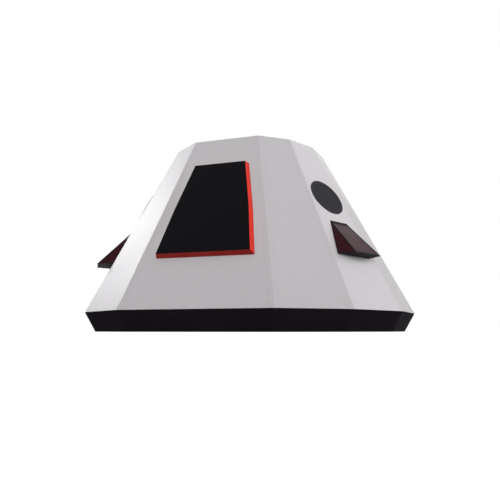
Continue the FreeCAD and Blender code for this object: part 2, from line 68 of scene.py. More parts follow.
HATCH_DRAFT = np.array([0.004, 0.030, 0.030, 0.048, 0.030, 0.030])
GEAR_RISE, RIB_MARGIN, LINK_MARGIN, LATCH_MARGIN = 1.16, 0.150, 0.134, 0.100
COUCH_X, SEAT_TOP, SEAT_END = 0.450, 0.465, 0.330
RECLINE = math.radians(40)
CUSHION_THICKNESS = 0.090
ROOT, HATCH, LID = "capsule", "side_hatch", "docking_hatch"
UP = (0.0, 0.0, 1.0)
HULL_SCREW, FACE_SCREW, SCREW = 0.0062, 0.0058, 0.0055
SMALL_SCREW, FINE_SCREW = 0.0052, 0.0050


# Surfaces worked out as whole arrays
def unit(vectors):
    """The same ways, each one long."""
    return vectors / np.linalg.norm(vectors, axis=-1, keepdims=True)


def heading(azimuth, rise=0.0):
    """Unit way (sin a cos r, -cos a cos r, sin r); the azimuth turns from the hatch side."""
    return np.array([math.sin(azimuth) * math.cos(rise), -math.cos(azimuth) * math.cos(rise),
                     math.sin(rise)])


class Plane:
    """Flat frame with an origin: x and y lie in it and z stands out of it."""

    def __init__(self, origin, x=(1.0, 0.0, 0.0), y=(0.0, 1.0, 0.0)):
        self.origin = np.asarray(origin, float)
        x, z = unit(x), unit(np.cross(x, y))
        self.axes = np.stack([x, np.cross(z, x), z])

    def at(self, x, y, z=0.0):
        """Points origin + x right + y up + z out; the three may be arrays that broadcast."""
        return self.lay(np.stack(np.broadcast_arrays(x, y, z), -1))

    def lay(self, local):
        """The same for an array of local points."""
        return self.origin + np.asarray(local, float) @ self.axes

    def moved(self, x, y, z=0.0):
        """The same frame round another of its points."""
        return Plane(self.at(x, y, z), self.axes[0], self.axes[1])

    def behind(self, depth):
        """The frame of the other side, a depth below."""
        return Plane(self.at(0.0, 0.0, -depth), -self.axes[0], self.axes[1])


def panel_plane(azimuth, half=FACET / 2, ends=HULL):
    """Outer face of a panel between two rings, each at its corner radius times cos(half)."""
    turn = math.radians(azimuth)
    foot, head = (heading(turn) * math.cos(half) * radius + (0, 0, height)
                  for radius, height in ends)
    return Plane(foot, heading(turn + math.pi / 2), head - foot)


HATCH_PANEL = panel_plane(0.0, FACET).moved(0.021, 0.0)
INNER = HATCH_PANEL.behind(PLUG_DEPTH)


def rounded(corners, radius, steps=4):
    """Closed outline whose corners become curves: (1-t)^2 A + 2t(1-t) corner + t^2 B."""
    corners = np.asarray(corners, float)
    start, end = (corners + unit(np.roll(corners, k, 0) - corners) * radius for k in (1, -1))
    t = np.linspace(0, 1, steps)[:, None]
    curve = (1 - t) ** 2 * start[:, None] + 2 * t * (1 - t) * corners[:, None] + t**2 * end[:, None]
    return curve.reshape(-1, 2)


def block(half, low, high, radius=0.0, steps=4, top=None):
    """Rounded upright block about x = 0. Its half width may differ at the top."""
    top = half if top is None else top
    return rounded([(-half, low), (half, low), (top, high), (-top, high)], radius, steps)


def circle(radius, sides, start=0.0):
    """Places round a circle: (r cos a, r sin a), from so many steps on."""
    angle = (np.arange(sides) + start) * 2 * math.pi / sides
    return np.stack([np.cos(angle), np.sin(angle)], 1) * radius


def aside(ways):
    """Flat ways turned a quarter to the right, each one long."""
    return unit(np.stack([ways[:, 1], -ways[:, 0]], 1))


def shrunk(outline, margins):
    """Convex outline with each side moved inwards: neighbouring side lines are solved together."""
    normal = -aside(np.roll(outline, -1, 0) - outline)
    offset = (normal * outline).sum(1) + margins
    pairs = np.stack([np.roll(normal, 1, 0), normal], 1)
    return np.linalg.solve(pairs, np.stack([np.roll(offset, 1), offset], 1)[..., None])[..., 0]


def hatch_loop(margin, rise=0.0, radius=0.004, steps=5):
    """Rounded hatch outline, drafted to a height above the panel and moved inwards."""
    return rounded(shrunk(HATCH_OUTLINE, HATCH_DRAFT * rise / HATCH_TOP + margin), radius, steps)


def swept(base, ways, profile):
    """Rows of base + profile x along the ways, each profile y high."""
    profile = np.asarray(profile, float)[:, None]
    flat = base + profile[..., :1] * ways
    return np.concatenate([flat, np.broadcast_to(profile[..., 1:], flat.shape[:2] + (1,))], 2)


def banded(loop, profile):
    """Outline times profile, its x outwards along the outline's normals."""
    return swept(loop, aside(np.roll(loop, -1, 0) - np.roll(loop, 1, 0)), profile)


def turned(profile, sides=96):
    """Profile of radius and height turned about z: (r cos a, r sin a, h)."""
    return swept(0.0, circle(1.0, sides), profile)


def capped(grid, centres):
    """Grid with a row before and after it that is drawn together to a point."""
    first, last = (np.broadcast_to(centre, grid[:1].shape) for centre in centres)
    return np.concatenate([first, grid, last])


def plated(loop, profile):
    """Outline times profile, closed at both ends over the outline's centre."""
    band = banded(loop, profile)
    return capped(band, [(*loop.mean(0), band[k, 0, 2]) for k in (0, -1)])


def smooth_line(points, steps):
    """Catmull-Rom line through the points, with so many steps from each to the next."""
    points = np.asarray(points, float)
    held = np.concatenate([[2 * points[0] - points[1]], points, [2 * points[-1] - points[-2]]])
    a, b, c, d = (held[k:k + len(points) - 1, None] for k in range(4))
    t = np.linspace(0, 1, steps, endpoint=False)[None, :, None]
    line = 0.5 * (2 * b + (c - a) * t + (2 * a - 5 * b + 4 * c - d) * t**2
                  + (3 * b - a - 3 * c + d) * t**3)
    return np.concatenate([line.reshape(-1, 3), points[-1:]])


def run_along(path):
    """Length from a path's start to each of its points."""
    return np.concatenate([[0], np.cumsum(np.linalg.norm(np.diff(path, axis=0), axis=1))])


def carried(path, facing, profile):
    """Profile carried along a path: path + profile x sideways + profile y along facing.

    Sideways is the path's direction crossed with facing. The path ends in flat caps.
    """
    ahead = unit(np.gradient(path, axis=0))
    side = unit(np.cross(ahead, np.broadcast_to(facing, path.shape)))
    rise = np.cross(side, ahead)
    grid = path[:, None] + profile[:, :1] * side[:, None] + profile[:, 1:] * rise[:, None]
    return capped(grid, [grid[k].mean(0) for k in (0, -1)])


def standing(shape, places, normals=UP):
    """Copies of a small shape, one on each place, with its z along that place's normal."""
    places = np.asarray(places, float)
    normals = np.broadcast_to(normals, places.shape)
    helper = np.where(np.abs(normals[:, 2:]) > 0.9, [[1.0, 0.0, 0.0]], [UP])
    right = unit(np.cross(helper, normals))
    axes = np.stack([right, np.cross(normals, right), normals], 1)
    return places[:, None, None] + np.einsum("ijk,nkl->nijl", shape, axes)


def evenly(start, end, gap):
    """Places from start to end, as near to a gap apart as fits."""
    return np.linspace(start, end, max(2, int(round((end - start) / gap)) + 1))


def loop_places(loop, gap):
    """Places and outward normals about a gap apart round an outline, by length along it."""
    closed = np.concatenate([loop, loop[:1]])
    run = run_along(closed)
    count = round(run[-1] / gap)
    at = np.arange(count) * run[-1] / count
    places, ahead = (np.stack([np.interp(at + more, run, closed[:, k]) for k in (0, 1)], 1)
                     for more in (0.0, 1e-4))
    return places, aside(ahead - places)


def linked(name, data):
    """New object of the scene."""
    made = bpy.data.objects.new(name, data)
    scene.collection.objects.link(made)
    return made


def settle(mesh, name, body, slot, material=None, crease=35):
    """Puts a finished mesh into the scene on its body, in its slot's finish or its own."""
    mesh.materials.append(finishes[material or slot])
    mesh.shade_smooth()
    mesh.set_sharp_from_angle(angle=math.radians(crease))
    piece = linked(name, mesh)
    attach(piece, body)
    return piece


class Surfaces:
    """Grids of points that make up one mesh."""

    def __init__(self):
        self.points, self.quads, self.maps, self.count = [], [], [], 0

    def add(self, grid, ring=False, uv=None):
        """Adds a grid, rows by columns by 3, or a stack of them.

        Columns close on themselves. In a ring, the last row joins the first too.
        """
        grid = grid[None] if grid.ndim == 3 else grid
        stack, rows, columns = grid.shape[:3]
        i = np.arange(rows if ring else rows - 1)[:, None]
        j = np.arange(columns)[None]
        k, m = (i + 1) % rows, (j + 1) % columns
        quads = np.stack([i * columns + j, i * columns + m, k * columns + m, k * columns + j], -1)
        starts = self.count + np.arange(stack) * rows * columns
        self.points.append(grid.reshape(-1, 3))
        self.quads.append((quads.reshape(1, -1, 4) + starts[:, None, None]).reshape(-1, 4))
        self.count += stack * rows * columns
        if uv is not None:
            self.maps.append(uv.reshape(-1, 2))
        return self

    def heads(self, radius, places, normals=UP):
        """Adds low domed screw heads with a round drive recess, sunk a little into their place."""
        head = [(0, -0.12), (0.42, -0.12), (0.50, 0.20), (0.85, 0.14), (1.0, -0.15), (0, -0.15)]
        return self.add(standing(turned(head, 8) * radius, places, normals))

    def mesh(self, name):
        """One mesh of closed shells: doubles merged and faces outwards."""
        mesh = bpy.data.meshes.new(name)
        quads = np.concatenate(self.quads)
        mesh.from_pydata(np.concatenate(self.points).tolist(), [], quads.tolist())
        if self.maps:
            spread = np.concatenate(self.maps)[quads].astype(np.float32)
            mesh.uv_layers.new(name="cloth").data.foreach_set("uv", spread.ravel())
        work = bmesh.new()
        work.from_mesh(mesh)
        bmesh.ops.remove_doubles(work, verts=work.verts, dist=1e-5)
        bmesh.ops.dissolve_degenerate(work, edges=work.edges, dist=1e-6)
        bmesh.ops.recalc_face_normals(work, faces=work.faces)
        work.to_mesh(mesh)
        work.free()
        return mesh

    def make(self, name, body, slot, material=None):
        return settle(self.mesh(name), name, body, slot, material)


# Shader arithmetic
def operation(kind):
    """Method that places one kind of Math node on a signal and what else it takes."""
    def place(self, *others):
        return self.graph.math(kind, self, *others)
    return place


class Signal:
    """A shader socket that can be added, multiplied and so on by placing Math nodes."""

    __add__, __sub__ = operation("ADD"), operation("SUBTRACT")
    __mul__, __truediv__ = operation("MULTIPLY"), operation("DIVIDE")
    __abs__, most = operation("ABSOLUTE"), operation("MAXIMUM")
    floor, fract, root = operation("FLOOR"), operation("FRACT"), operation("SQRT")
    sin, cos, tan = operation("SINE"), operation("COSINE"), operation("TANGENT")
    above, below = operation("GREATER_THAN"), operation("LESS_THAN")

    def __init__(self, graph, socket):
        self.graph, self.socket = graph, socket

    def rest(self):
        """What is missing to 1."""
        return self * -1.0 + 1.0

    def ramp(self, low, high, start=0.0, end=1.0):
        """Smooth step from start to end as the value goes from low to high."""
        return self.graph.of("MapRange", {"Value": self, "From Min": low, "From Max": high,
                                          "To Min": start, "To Max": end},
                             interpolation_type="SMOOTHSTEP")

    def line(self, spacing, width):
        """1 on thin lines that repeat at a spacing, 0 between them."""
        off = abs((self / spacing + 0.5).fract() - 0.5) * spacing
        return off.ramp(width * 0.5, width, 1.0, 0.0)

    def band(self, centre, width):
        """1 on one thin line where the value meets the centre."""
        return abs(self - centre).ramp(width * 0.5, width, 1.0, 0.0)


class Graph:
    """Places and links the nodes of one shader tree."""

    def __init__(self, tree):
        self.tree = tree

    def put(self, socket, value):
        if isinstance(value, Signal):
            self.tree.links.new(value.socket, socket)
        else:
            socket.default_value = (*value, 1.0) if socket.type == "RGBA" else value

    def of(self, kind, values=(), output=0, **settings):
        """Places a node with its settings, puts values on its inputs, and gives an output."""
        made = self.tree.nodes.new("ShaderNode" + kind)
        for key, value in settings.items():
            setattr(made, key, value)
        for label, value in dict(values).items():
            self.put(made.inputs[label], value)
        return Signal(self, made.outputs[output])

    def math(self, kind, *values):
        return self.of("Math", enumerate(values), operation=kind)

    def dot(self, a, b):
        return self.of("VectorMath", {0: a, 1: b}, "Value", operation="DOT_PRODUCT")

    def place(self, which="Object"):
        """Texture coordinate of the surface."""
        return self.of("TexCoord", output=which)

    def parts(self, vector):
        split = self.of("SeparateXYZ", {0: vector}).socket.node
        return [Signal(self, socket) for socket in split.outputs]

    def join(self, *values):
        return self.of("CombineXYZ", enumerate(values))

    def noise(self, vector, scale, detail=3.0, rough=0.55):
        return self.of("TexNoise", {"Vector": vector, "Scale": scale, "Detail": detail,
                                    "Roughness": rough})

    def cells(self, scale, feature):
        """Distance in a Voronoi pattern."""
        return self.of("TexVoronoi", {"Vector": self.place(), "Scale": scale}, "Distance",
                       feature=feature)

    def mix(self, factor, a, b):
        """Colour a where the factor is 0 and b where it is 1."""
        return self.of("Mix", {0: factor, 6: a, 7: b}, 2, data_type="RGBA")

    def toned(self, colour, tone):
        """Colour times a tone."""
        return self.of("VectorMath", {0: colour, "Scale": tone}, operation="SCALE")

    def use(self, group, **values):
        """Places a shared group and returns its outputs by name."""
        made = self.of("Group", {label.replace("_", " "): value for label, value in values.items()},
                       node_tree=bpy.data.node_groups[group])
        return {socket.name: Signal(self, socket) for socket in made.socket.node.outputs}


def shared(name, inputs, outputs):
    """Decorator: builds a shader node group from a function of its inputs."""
    def build(function):
        tree = bpy.data.node_groups.new(name, "ShaderNodeTree")
        for label, value in inputs.items():
            kind = "NodeSocketFloat" if isinstance(value, float) else "NodeSocketVector"
            made = tree.interface.new_socket(label, in_out="INPUT", socket_type=kind)
            made.default_value = value
        for label in outputs:
            kind = "NodeSocketVector" if label == "Normal" else "NodeSocketFloat"
            tree.interface.new_socket(label, in_out="OUTPUT", socket_type=kind)
        graph = Graph(tree)
        given = tree.nodes.new("NodeGroupInput")
        taken = tree.nodes.new("NodeGroupOutput")
        values = function(graph, *[Signal(graph, given.outputs[label]) for label in inputs])
        for label, value in zip(outputs, values):
            graph.put(taken.inputs[label], value)
        return function
    return build


# Effects that several finishes share
@shared("surface_tone", {"Patch Scale": 1.6, "Amount": 0.04}, ("Tone", "Patches", "Fine"))
def surface_tone(graph, scale, amount):
    """Broad and fine noise: tone is 1 + amount (patches + fine - 1)."""
    patches, fine = graph.noise(graph.place(), scale, 5.0), graph.noise(graph.place(), 90.0, 2.0)
    return (patches + fine - 1.0) * amount + 1.0, patches, fine


@shared("edge_wear", {"Radius": 0.003, "Amount": 0.6}, ("Wear", "Normal"))
def edge_wear(graph, radius, amount):
    """Rounded normal, and a mask where it leaves the true one, broken up by noise."""
    soft = graph.of("Bevel", {"Radius": radius}, samples=4)
    edge = graph.dot(soft, graph.of("NewGeometry", output="Normal")).rest().ramp(0.01, 0.20)
    chips = graph.noise(graph.place(), 14.0, 6.0, 0.7).ramp(0.44, 0.66)
    return edge * chips * amount, soft


@shared("facet_frame", {}, ("Across", "Edge", "Depth", "Height", "Facet Shade Sign"))
def facet_frame(graph):
    """Where a point is on its hull panel: across it, in from its edge, and below the skin.

    The turn from the hatch side picks the panel: 0 within one facet angle of the front, and
    elsewhere the middle of its 22.5 degree sector. Facet Shade Sign is -1 and 1 by turns round
    the sides, for painted shade that makes every other side panel darker and the next lighter.
    Depth allows for the panels' lean by its rounded cosine.
    """
    lean = 0.9
    x, y, z = graph.parts(graph.place())
    turn = graph.math("ARCTAN2", x, y * -1.0)
    front = abs(turn).below(FACET)
    middle = ((turn / FACET).floor() + 0.5) * FACET * front.rest()
    half = (front + 1.0) * (FACET / 2)
    # Sign of the painted shade: -1 and 1 on alternate side panels
    facet_shade_sign = ((abs(turn) / FACET).floor() * math.pi).cos()
    radius = (x * x + y * y).root()
    across, level = radius * (turn - middle).sin(), radius * (turn - middle).cos()
    skin = (z * -TAPER + (BASE_RADIUS + TAPER * HULL_FOOT)) * half.cos()
    edge = skin * half.tan() - abs(across)
    return across, edge, (skin - level) * lean, z, facet_shade_sign * front.rest()


@shared("brushed", {"Vector": (0.0, 0.0, 0.0), "Amount": 0.5}, ("Grain",))
def brushed(graph, vector, amount):
    """Long fine scratches: noise on a vector that has been stretched along the brushing."""
    return (graph.noise(vector, 1.0, 4.0, 0.6) * amount,)


@shared("weave", {"Vector": (0.0, 0.0, 0.0), "Pitch": 0.002}, ("Height", "Thread"))
def weave(graph, vector, pitch):
    """Plain weave: over and under threads are the two signs of sin(x) sin(y)."""
    across, along = ((way / pitch * math.pi).sin() for way in graph.parts(vector)[:2])
    over = (across * along).above(0.0)
    return abs(across) * over + abs(along) * over.rest(), over


class Coat(Graph):
    """Tree of a finish, with its toned paint, the tone's parts, and its worn edges.

    tone is the patches' scale and amount, and wear the edges' radius, amount and colour.
    """

    def __init__(self, tree, colour, tone, wear):
        super().__init__(tree)
        self.shader = tree.nodes["Principled BSDF"].inputs
        if tone:
            parts = self.use("surface_tone", Patch_Scale=tone[0], Amount=tone[1])
            self.tone, self.patches, self.fine = parts.values()
            self.paint = self.toned(colour, self.tone)
        self.edges = {}
        if wear:
            self.edges, self.bare = self.use("edge_wear", Radius=wear[0], Amount=wear[1]), wear[2]

    def worn(self, colour):
        """The colour with the worn one on its edges."""
        return self.mix(self.edges["Wear"], colour, self.bare)

    def bump(self, height, distance):
        """Relief on the rounded normal, or on the true one where there is no wear."""
        values = {"Strength": 1.0, "Distance": distance, "Height": height}
        if self.edges:
            values["Normal"] = self.edges["Normal"]
        return self.of("Bump", values)


def finish(slot, colour, roughness, tone=None, wear=None, specular=0.5, **settings):
    """Decorator: makes a slot's material. The function gives its colour, roughness and normal.

    None leaves one as it is. Settings are more inputs of the shader.
    """
    def build(detail):
        material = bpy.data.materials.new(slot)
        material.use_nodes = True
        coat = Coat(material.node_tree, colour, tone, wear)
        settings.update(Base_Color=colour, Roughness=roughness, Specular_IOR_Level=specular)
        for label, value in settings.items():
            coat.put(coat.shader[label.replace("_", " ")], value)
        for label, value in zip(("Base Color", "Roughness", "Normal"), detail(coat)):
            if value is not None:
                coat.put(coat.shader[label], value)
        finishes[slot] = material
        return detail
    return build


def enamel(rough):
    """Brush-free enamel: slight tone, chipped to a worn colour on its rounded edges."""
    def detail(coat):
        return coat.worn(coat.paint), coat.patches * 0.12 + rough, coat.bump(coat.fine, 0.0003)
    return detail


# White enamel on machined lugs, worn to bare metal grey on the edges
finish("hinge_paint", (0.74, 0.73, 0.74), 0.45, (4.0, 0.06),
       (0.003, 0.8, (0.34, 0.34, 0.35)))(enamel(0.40))
# Grey-green primer of the hatch's inner side, scuffed along its edges
finish("liner_grey", (0.48, 0.49, 0.47), 0.55, (4.0, 0.10),
       (0.003, 0.6, (0.62, 0.62, 0.60)))(enamel(0.48))
# Black anodised trim, and the same faded by the sun to the tone of its window
finish("trim_black", (0.024, 0.022, 0.025), 0.6, (4.0, 0.25),
       (0.003, 0.3, (0.07, 0.07, 0.073)), specular=0.02)(enamel(0.54))
finish("porthole_black", (0.055, 0.050, 0.057), 0.6, (4.0, 0.20),
       (0.003, 0.3, (0.10, 0.10, 0.103)), specular=0.02)(enamel(0.54))
# Powder coat on the couch frames, rubbed brighter on the edges
finish("couch_paint", (0.42, 0.43, 0.44), 0.5, (4.0, 0.10),
       (0.003, 0.7, (0.62, 0.62, 0.63)))(enamel(0.45))


@finish("hull_paint", (0.810, 0.785, 0.811), 0.5, (1.1, 0.03),
        (0.006, 0.25, (0.56, 0.56, 0.57)), specular=0.2)
def hull_paint(coat):
    """White satin paint, faintly streaked and worn, with painted shade that makes the side
    panels darker and lighter by turns.

    The inner side is a grey liner with ribs in a net of triangles, whose rows follow the
    slanting length of the panel.
    """
    painted_facet_shade, seam_inset, rib_pitch, rib_width = 0.088, 0.046, 0.12, 0.005
    slant = 1.104
    across, edge, depth, height, facet_shade_sign = coat.use("facet_frame").values()
    inner = depth.ramp(0.02, 0.04)
    seams = edge.band(seam_inset, 0.0010)
    streaks = coat.noise(coat.join(across * 26.0, height * 1.1, edge * 0.4), 1.0, 4.0)
    grime = height.ramp(0.18, 0.55, 1.0, 0.0) * streaks.ramp(0.35, 0.75)
    # Painted shade: side panels alternately about 9 percent darker and lighter, as if each facet
    # were lit differently
    paint = coat.toned(coat.paint, (facet_shade_sign * painted_facet_shade + 1.0) * (streaks * 0.03 + 0.985))
    paint = coat.mix(grime * 0.08, paint, (0.50, 0.47, 0.43))
    paint = coat.mix(seams * 0.25, paint, (0.30, 0.30, 0.31))
    rise = height * (slant * math.sin(math.pi / 3))
    ribs = across.line(rib_pitch, rib_width)
    for slope in (0.5, -0.5):
        ribs = ribs.most((rise + across * slope).line(rib_pitch, rib_width))
    liner = coat.toned(coat.mix(ribs, (0.44, 0.45, 0.44), (0.62, 0.63, 0.62)), coat.tone)
    relief = (seams * -1.0 + coat.fine * 0.05) * inner.rest() + ribs * inner * 3.0
    return (coat.mix(inner, coat.worn(paint), liner), coat.patches * 0.08 + inner * 0.08 + 0.46,
            coat.bump(relief, 0.0012))


@finish("skirt_black", (0.0165, 0.0140, 0.0172), 0.6, (2.2, 0.5),
        (0.005, 0.5, (0.04, 0.04, 0.042)), specular=0.002)
def skirt_black(coat):
    """Satin black with a fine speckle, dusty scuffs low down and paler worn edges."""
    scuffs = coat.noise(coat.place(), 9.0, 6.0, 0.7).ramp(0.5, 0.7)
    dust = coat.parts(coat.place())[2].ramp(0.0, 0.09, 1.0, 0.0) * scuffs
    paint = coat.mix(dust * 0.20, coat.paint, (0.035, 0.032, 0.030))
    return coat.worn(paint), coat.patches * 0.25 + 0.45, coat.bump(coat.fine, 0.0006)


@finish("shield_grey", (0.25, 0.24, 0.25), 0.85, (5.0, 0.35), specular=0.3)
def shield_grey(coat):
    """Ablative blocks in a brick bond, each its own grey, with sunk filled joints."""
    length, width, joint = 0.36, 0.22, 0.006
    x, y, _ = coat.parts(coat.place())
    row = (y / width).floor()
    x = x + (row * 0.5).fract() * length
    joints = x.line(length, joint).most((y + width / 2).line(width, joint))
    own = coat.of("TexWhiteNoise", {"Vector": coat.join((x / length + 0.5).floor(), row, 0.0)},
                  "Value", noise_dimensions="2D")
    pores = coat.noise(coat.place(), 160.0, 2.0).ramp(0.60, 0.72)
    grey = coat.mix(joints * 0.7, coat.toned(coat.paint, own * 0.16 + 0.92), (0.10, 0.095, 0.09))
    return (coat.mix(pores * 0.4, grey, (0.08, 0.075, 0.075)), coat.fine * 0.1 + 0.8,
            coat.bump(joints * -1.0 - pores * 0.5 + coat.fine * 0.2, 0.002))


@finish("deck_grey", (0.34, 0.345, 0.35), 0.6, (2.5, 0.12), (0.003, 0.7, (0.55, 0.55, 0.56)))
def deck_grey(coat):
    """Painted deck with a square panel grid, a fine anti-slip grain and worn edges."""
    x, y, _ = coat.parts(coat.place())
    grid = x.line(0.30, 0.004).most(y.line(0.30, 0.004))
    grain = coat.cells(110.0, "F1").ramp(0.25, 0.45, 1.0, 0.0)
    grey = coat.mix(grid * 0.7, coat.toned(coat.paint, grain * 0.10 + 0.95), (0.09, 0.09, 0.095))
    return coat.worn(grey), coat.patches * 0.2 + 0.5, coat.bump(grain * 0.5 - grid, 0.0008)


@finish("hatch_red", (0.97, 0.031, 0.014), 0.42, (4.0, 0.10), (0.003, 0.45, (0.30, 0.03, 0.02)),
        specular=0.12)
def hatch_red(coat):
    """Bright red enamel, chipped to dark primer on its edges, with painted shade darkening its
    downward faces.

    It is duller to scattered rays, so it tints the hull round it only a little.
    """
    paint, rough, normal = enamel(0.36)(coat)
    # Painted shade: faces that look down are darkened towards deep red, as if in shadow
    painted_downward_shade = coat.parts(coat.place("Normal"))[2].ramp(-0.85, -0.50, 0.66, 0.0)
    paint = coat.mix(painted_downward_shade, paint, (0.10, 0.006, 0.005))
    scattered = coat.of("LightPath", output="Is Diffuse Ray")
    return coat.mix(scattered * 0.75, paint, (0.12, 0.09, 0.09)), rough, normal


@finish("hatch_black", (0.0048, 0.0041, 0.0054), 0.7, (2.0, 0.5),
        (0.003, 0.5, (0.035, 0.035, 0.037)), specular=0.05)
def hatch_black(coat):
    """Matt black composite: a faint twill under the resin, dust in soft patches, fine scuffs."""
    x, _, z = coat.parts(coat.place())
    twill = ((x + z) * 1400.0).sin() * ((x - z) * 350.0).sin()
    scuffs = coat.noise(coat.join(x * 40.0, z * 4.0, x), 1.0, 6.0, 0.7).ramp(0.62, 0.80)
    black = coat.mix(scuffs * 0.10, coat.toned(coat.paint, twill * 0.15 + 1.0), (0.03, 0.03, 0.032))
    return (coat.worn(black), coat.patches * 0.15 + 0.62,
            coat.bump(twill * 0.4 + coat.fine, 0.0002))


@finish("lid_paint", (0.72, 0.715, 0.72), 0.48, (4.0, 0.08), (0.003, 0.7, (0.36, 0.36, 0.37)))
def lid_paint(coat):
    """White enamel with a pair of fine turned rings and handling marks."""
    x, y, _ = coat.parts(coat.place())
    radius = (x * x + y * y).root()
    rings = radius.band(0.20, 0.002).most(radius.band(0.345, 0.002))
    paint, rough, normal = enamel(0.42)(coat)
    return coat.mix(rings * 0.5, paint, (0.25, 0.25, 0.26)), rough, normal


@finish("handle_steel", (0.56, 0.56, 0.57), 0.34, (12.0, 0.12), Metallic=1.0)
def handle_steel(coat):
    """Stainless bar, brushed round its length."""
    x, y, z = coat.parts(coat.place())
    grain = coat.use("brushed", Vector=coat.join(x * 700.0, y * 30.0, z * 700.0), Amount=1.0)
    return coat.paint, grain["Grain"] * 0.22 + 0.22, coat.bump(grain["Grain"], 0.0002)


@finish("ring_aluminium", (0.62, 0.62, 0.63), 0.36, (6.0, 0.16), (0.002, 0.8, (0.80, 0.80, 0.81)),
        Metallic=1.0)
def ring_aluminium(coat):
    """Turned aluminium: fine rings round the docking axis, slightly uneven, edges bright."""
    x, y, z = coat.parts(coat.place())
    turns = coat.join((x * x + y * y).root() * 900.0, z * 900.0, 0.0)
    cuts = coat.use("brushed", Vector=turns, Amount=1.0)["Grain"]
    return coat.worn(coat.paint), cuts * 0.25 + 0.24, coat.bump(cuts, 0.0003)


@finish("dark_glass", (0.034, 0.027, 0.038), 0.12, specular=0.02, Transmission_Weight=0.55,
        IOR=1.22)
def dark_glass(coat):
    """Heavily tinted window: part of the light goes through, with faint smears on top."""
    return None, coat.noise(coat.place(), 5.0, 6.0, 0.75).ramp(0.4, 0.8, 0.03, 0.16)


@finish("smoked_glass", (0.050, 0.013, 0.019), 0.35, (3.0, 0.25), specular=0.034)
def smoked_glass(coat):
    """Smoked dark red sensor glass with soft smears and a slightly uneven tint."""
    return coat.paint, coat.noise(coat.place(), 7.0, 6.0, 0.75).ramp(0.35, 0.8, 0.32, 0.46)


@finish("couch_fabric", (0.045, 0.060, 0.085), 0.9, (7.0, 0.35), specular=0.25,
        Sheen_Weight=0.35, Sheen_Roughness=0.5)
def couch_fabric(coat):
    """Dark blue-grey plain weave, with painted shade: thread crowns and the threads lying on top
    lighter, the dips between them darker.
    """
    height, thread = coat.use("weave", Vector=coat.place("UV"), Pitch=0.0022).values()
    # Painted shade: the weave's relief also tones the colour, lighter on thread crowns and on the
    # upper threads
    return (coat.toned(coat.paint, height * 0.6 + thread * 0.15 + 0.55), height * -0.1 + 0.95,
            coat.bump(height, 0.0005))


@finish("console_plastic", (0.075, 0.078, 0.082), 0.55, (5.0, 0.15),
        (0.003, 0.5, (0.20, 0.20, 0.205)))
def console_plastic(coat):
    """Moulded dark grey plastic with a leather-like grain and rubbed edges."""
    grain = coat.cells(320.0, "DISTANCE_TO_EDGE").ramp(0.0, 0.12)
    return coat.worn(coat.paint), grain * -0.12 + 0.62, coat.bump(grain, 0.0003)


@finish("screen_glass", (0.010, 0.012, 0.014), 0.12, Emission_Strength=0.9)
def screen_glass(coat):
    """Display glass: a pale horizon line, a scale of ticks and level bars glow under it."""
    x, y, _ = coat.parts(coat.place())
    inside = abs(x).ramp(0.094, 0.092) * abs(x).ramp(0.0, 0.001)
    rows = y.line(0.0125, 0.0011) * abs(x).ramp(0.020, 0.0205, 1.0, 0.0)
    bars = x.line(0.014, 0.006) * abs(x).ramp(0.050, 0.051) * y.line(0.004, 0.0012)
    horizon = (y + x * 0.15 + 0.03).line(0.23, 0.002)
    glow = coat.mix(rows.most(bars * 0.8).most(horizon) * inside, (0.004, 0.010, 0.012),
                    (0.10, 0.75, 0.62))
    coat.put(coat.shader["Emission Color"], glow)
    return ()


@finish("lamp_white", (0.9, 0.9, 0.88), 0.4, (9.0, 0.06), Emission_Color=(1.0, 0.96, 0.88),
        Emission_Strength=11.0)
def lamp_white(coat):
    """Frosted strip of the cabin lamp, slightly uneven."""
    return (coat.paint,)


@finish("seal_rubber", (0.018, 0.018, 0.019), 0.75, (8.0, 0.4), specular=0.25)
def seal_rubber(coat):
    """Black seal rubber with talc-pale bloom in patches."""
    bloom = coat.patches.ramp(0.5, 0.8)
    return (coat.mix(bloom * 0.2, coat.paint, (0.10, 0.10, 0.10)), None,
            coat.bump(coat.fine, 0.0002))


@finish("strap_webbing", (0.52, 0.50, 0.44), 0.85, (20.0, 0.2), specular=0.3)
def strap_webbing(coat):
    """Harness webbing: a herringbone of ribs along the strap, with painted shade darker between the
    ribs, and darker selvedges.
    """
    u, v, _ = coat.parts(coat.place("UV"))
    off = abs(u - 0.5)
    ribs = abs(((off * 2.0 + v * 2.2) * 45.0).sin())
    # Painted shade: the ribs' relief also tones the colour, lighter on the crests and darker
    # between them
    cloth = coat.toned(coat.paint, ribs * 0.35 + 0.7)
    return (coat.mix(off.ramp(0.40, 0.46) * 0.5, cloth, (0.25, 0.24, 0.21)), None,
            coat.bump(ribs, 0.0004))


# Camera at floor level, lamps, floor and backdrop
def make_camera():
    """Stands at an azimuth and distance from the capsule's axis, tipped up, a hair to the right."""
    azimuth, distance, height = math.radians(16.2), 6.087, 0.015
    pitch, yaw = math.radians(9.6), math.radians(-0.17)
    data = bpy.data.cameras.new("camera")
    data.sensor_width, data.lens = 36.0, 34.16
    data.clip_start, data.clip_end = 0.005, 400.0
    camera = linked("camera", data)
    camera.location = heading(azimuth) * distance + (0, 0, height)
    camera.rotation_euler = (math.pi / 2 + pitch, 0.0, azimuth + yaw)
    scene.camera = camera


def make_lamps():
    """Distant soft lamps: azimuth and elevation, strength, and how far each spreads."""
    for name, azimuth, elevation, strength, spread in (
            ("key_lamp", -112, 30, 1.50, 15), ("front_lamp", 8, 6, 1.64, 30),
            ("side_lamp", 98, 2, 2.06, 50), ("back_lamp", -178, 35, 0.5, 30)):
        data = bpy.data.lights.new(name, "SUN")
        data.energy, data.angle = strength, math.radians(spread)
        towards = Vector(heading(math.radians(azimuth), math.radians(elevation)))
        linked(name, data).rotation_euler = towards.to_track_quat("Z", "Y").to_euler()


def plain_rays(graph):
    """1 for the rays that show the background itself: camera, glossy and transmission rays."""
    camera, glossy, through = (graph.of("LightPath", output=f"Is {kind} Ray")
                               for kind in ("Camera", "Glossy", "Transmission"))
    return camera.most(glossy).most(through)


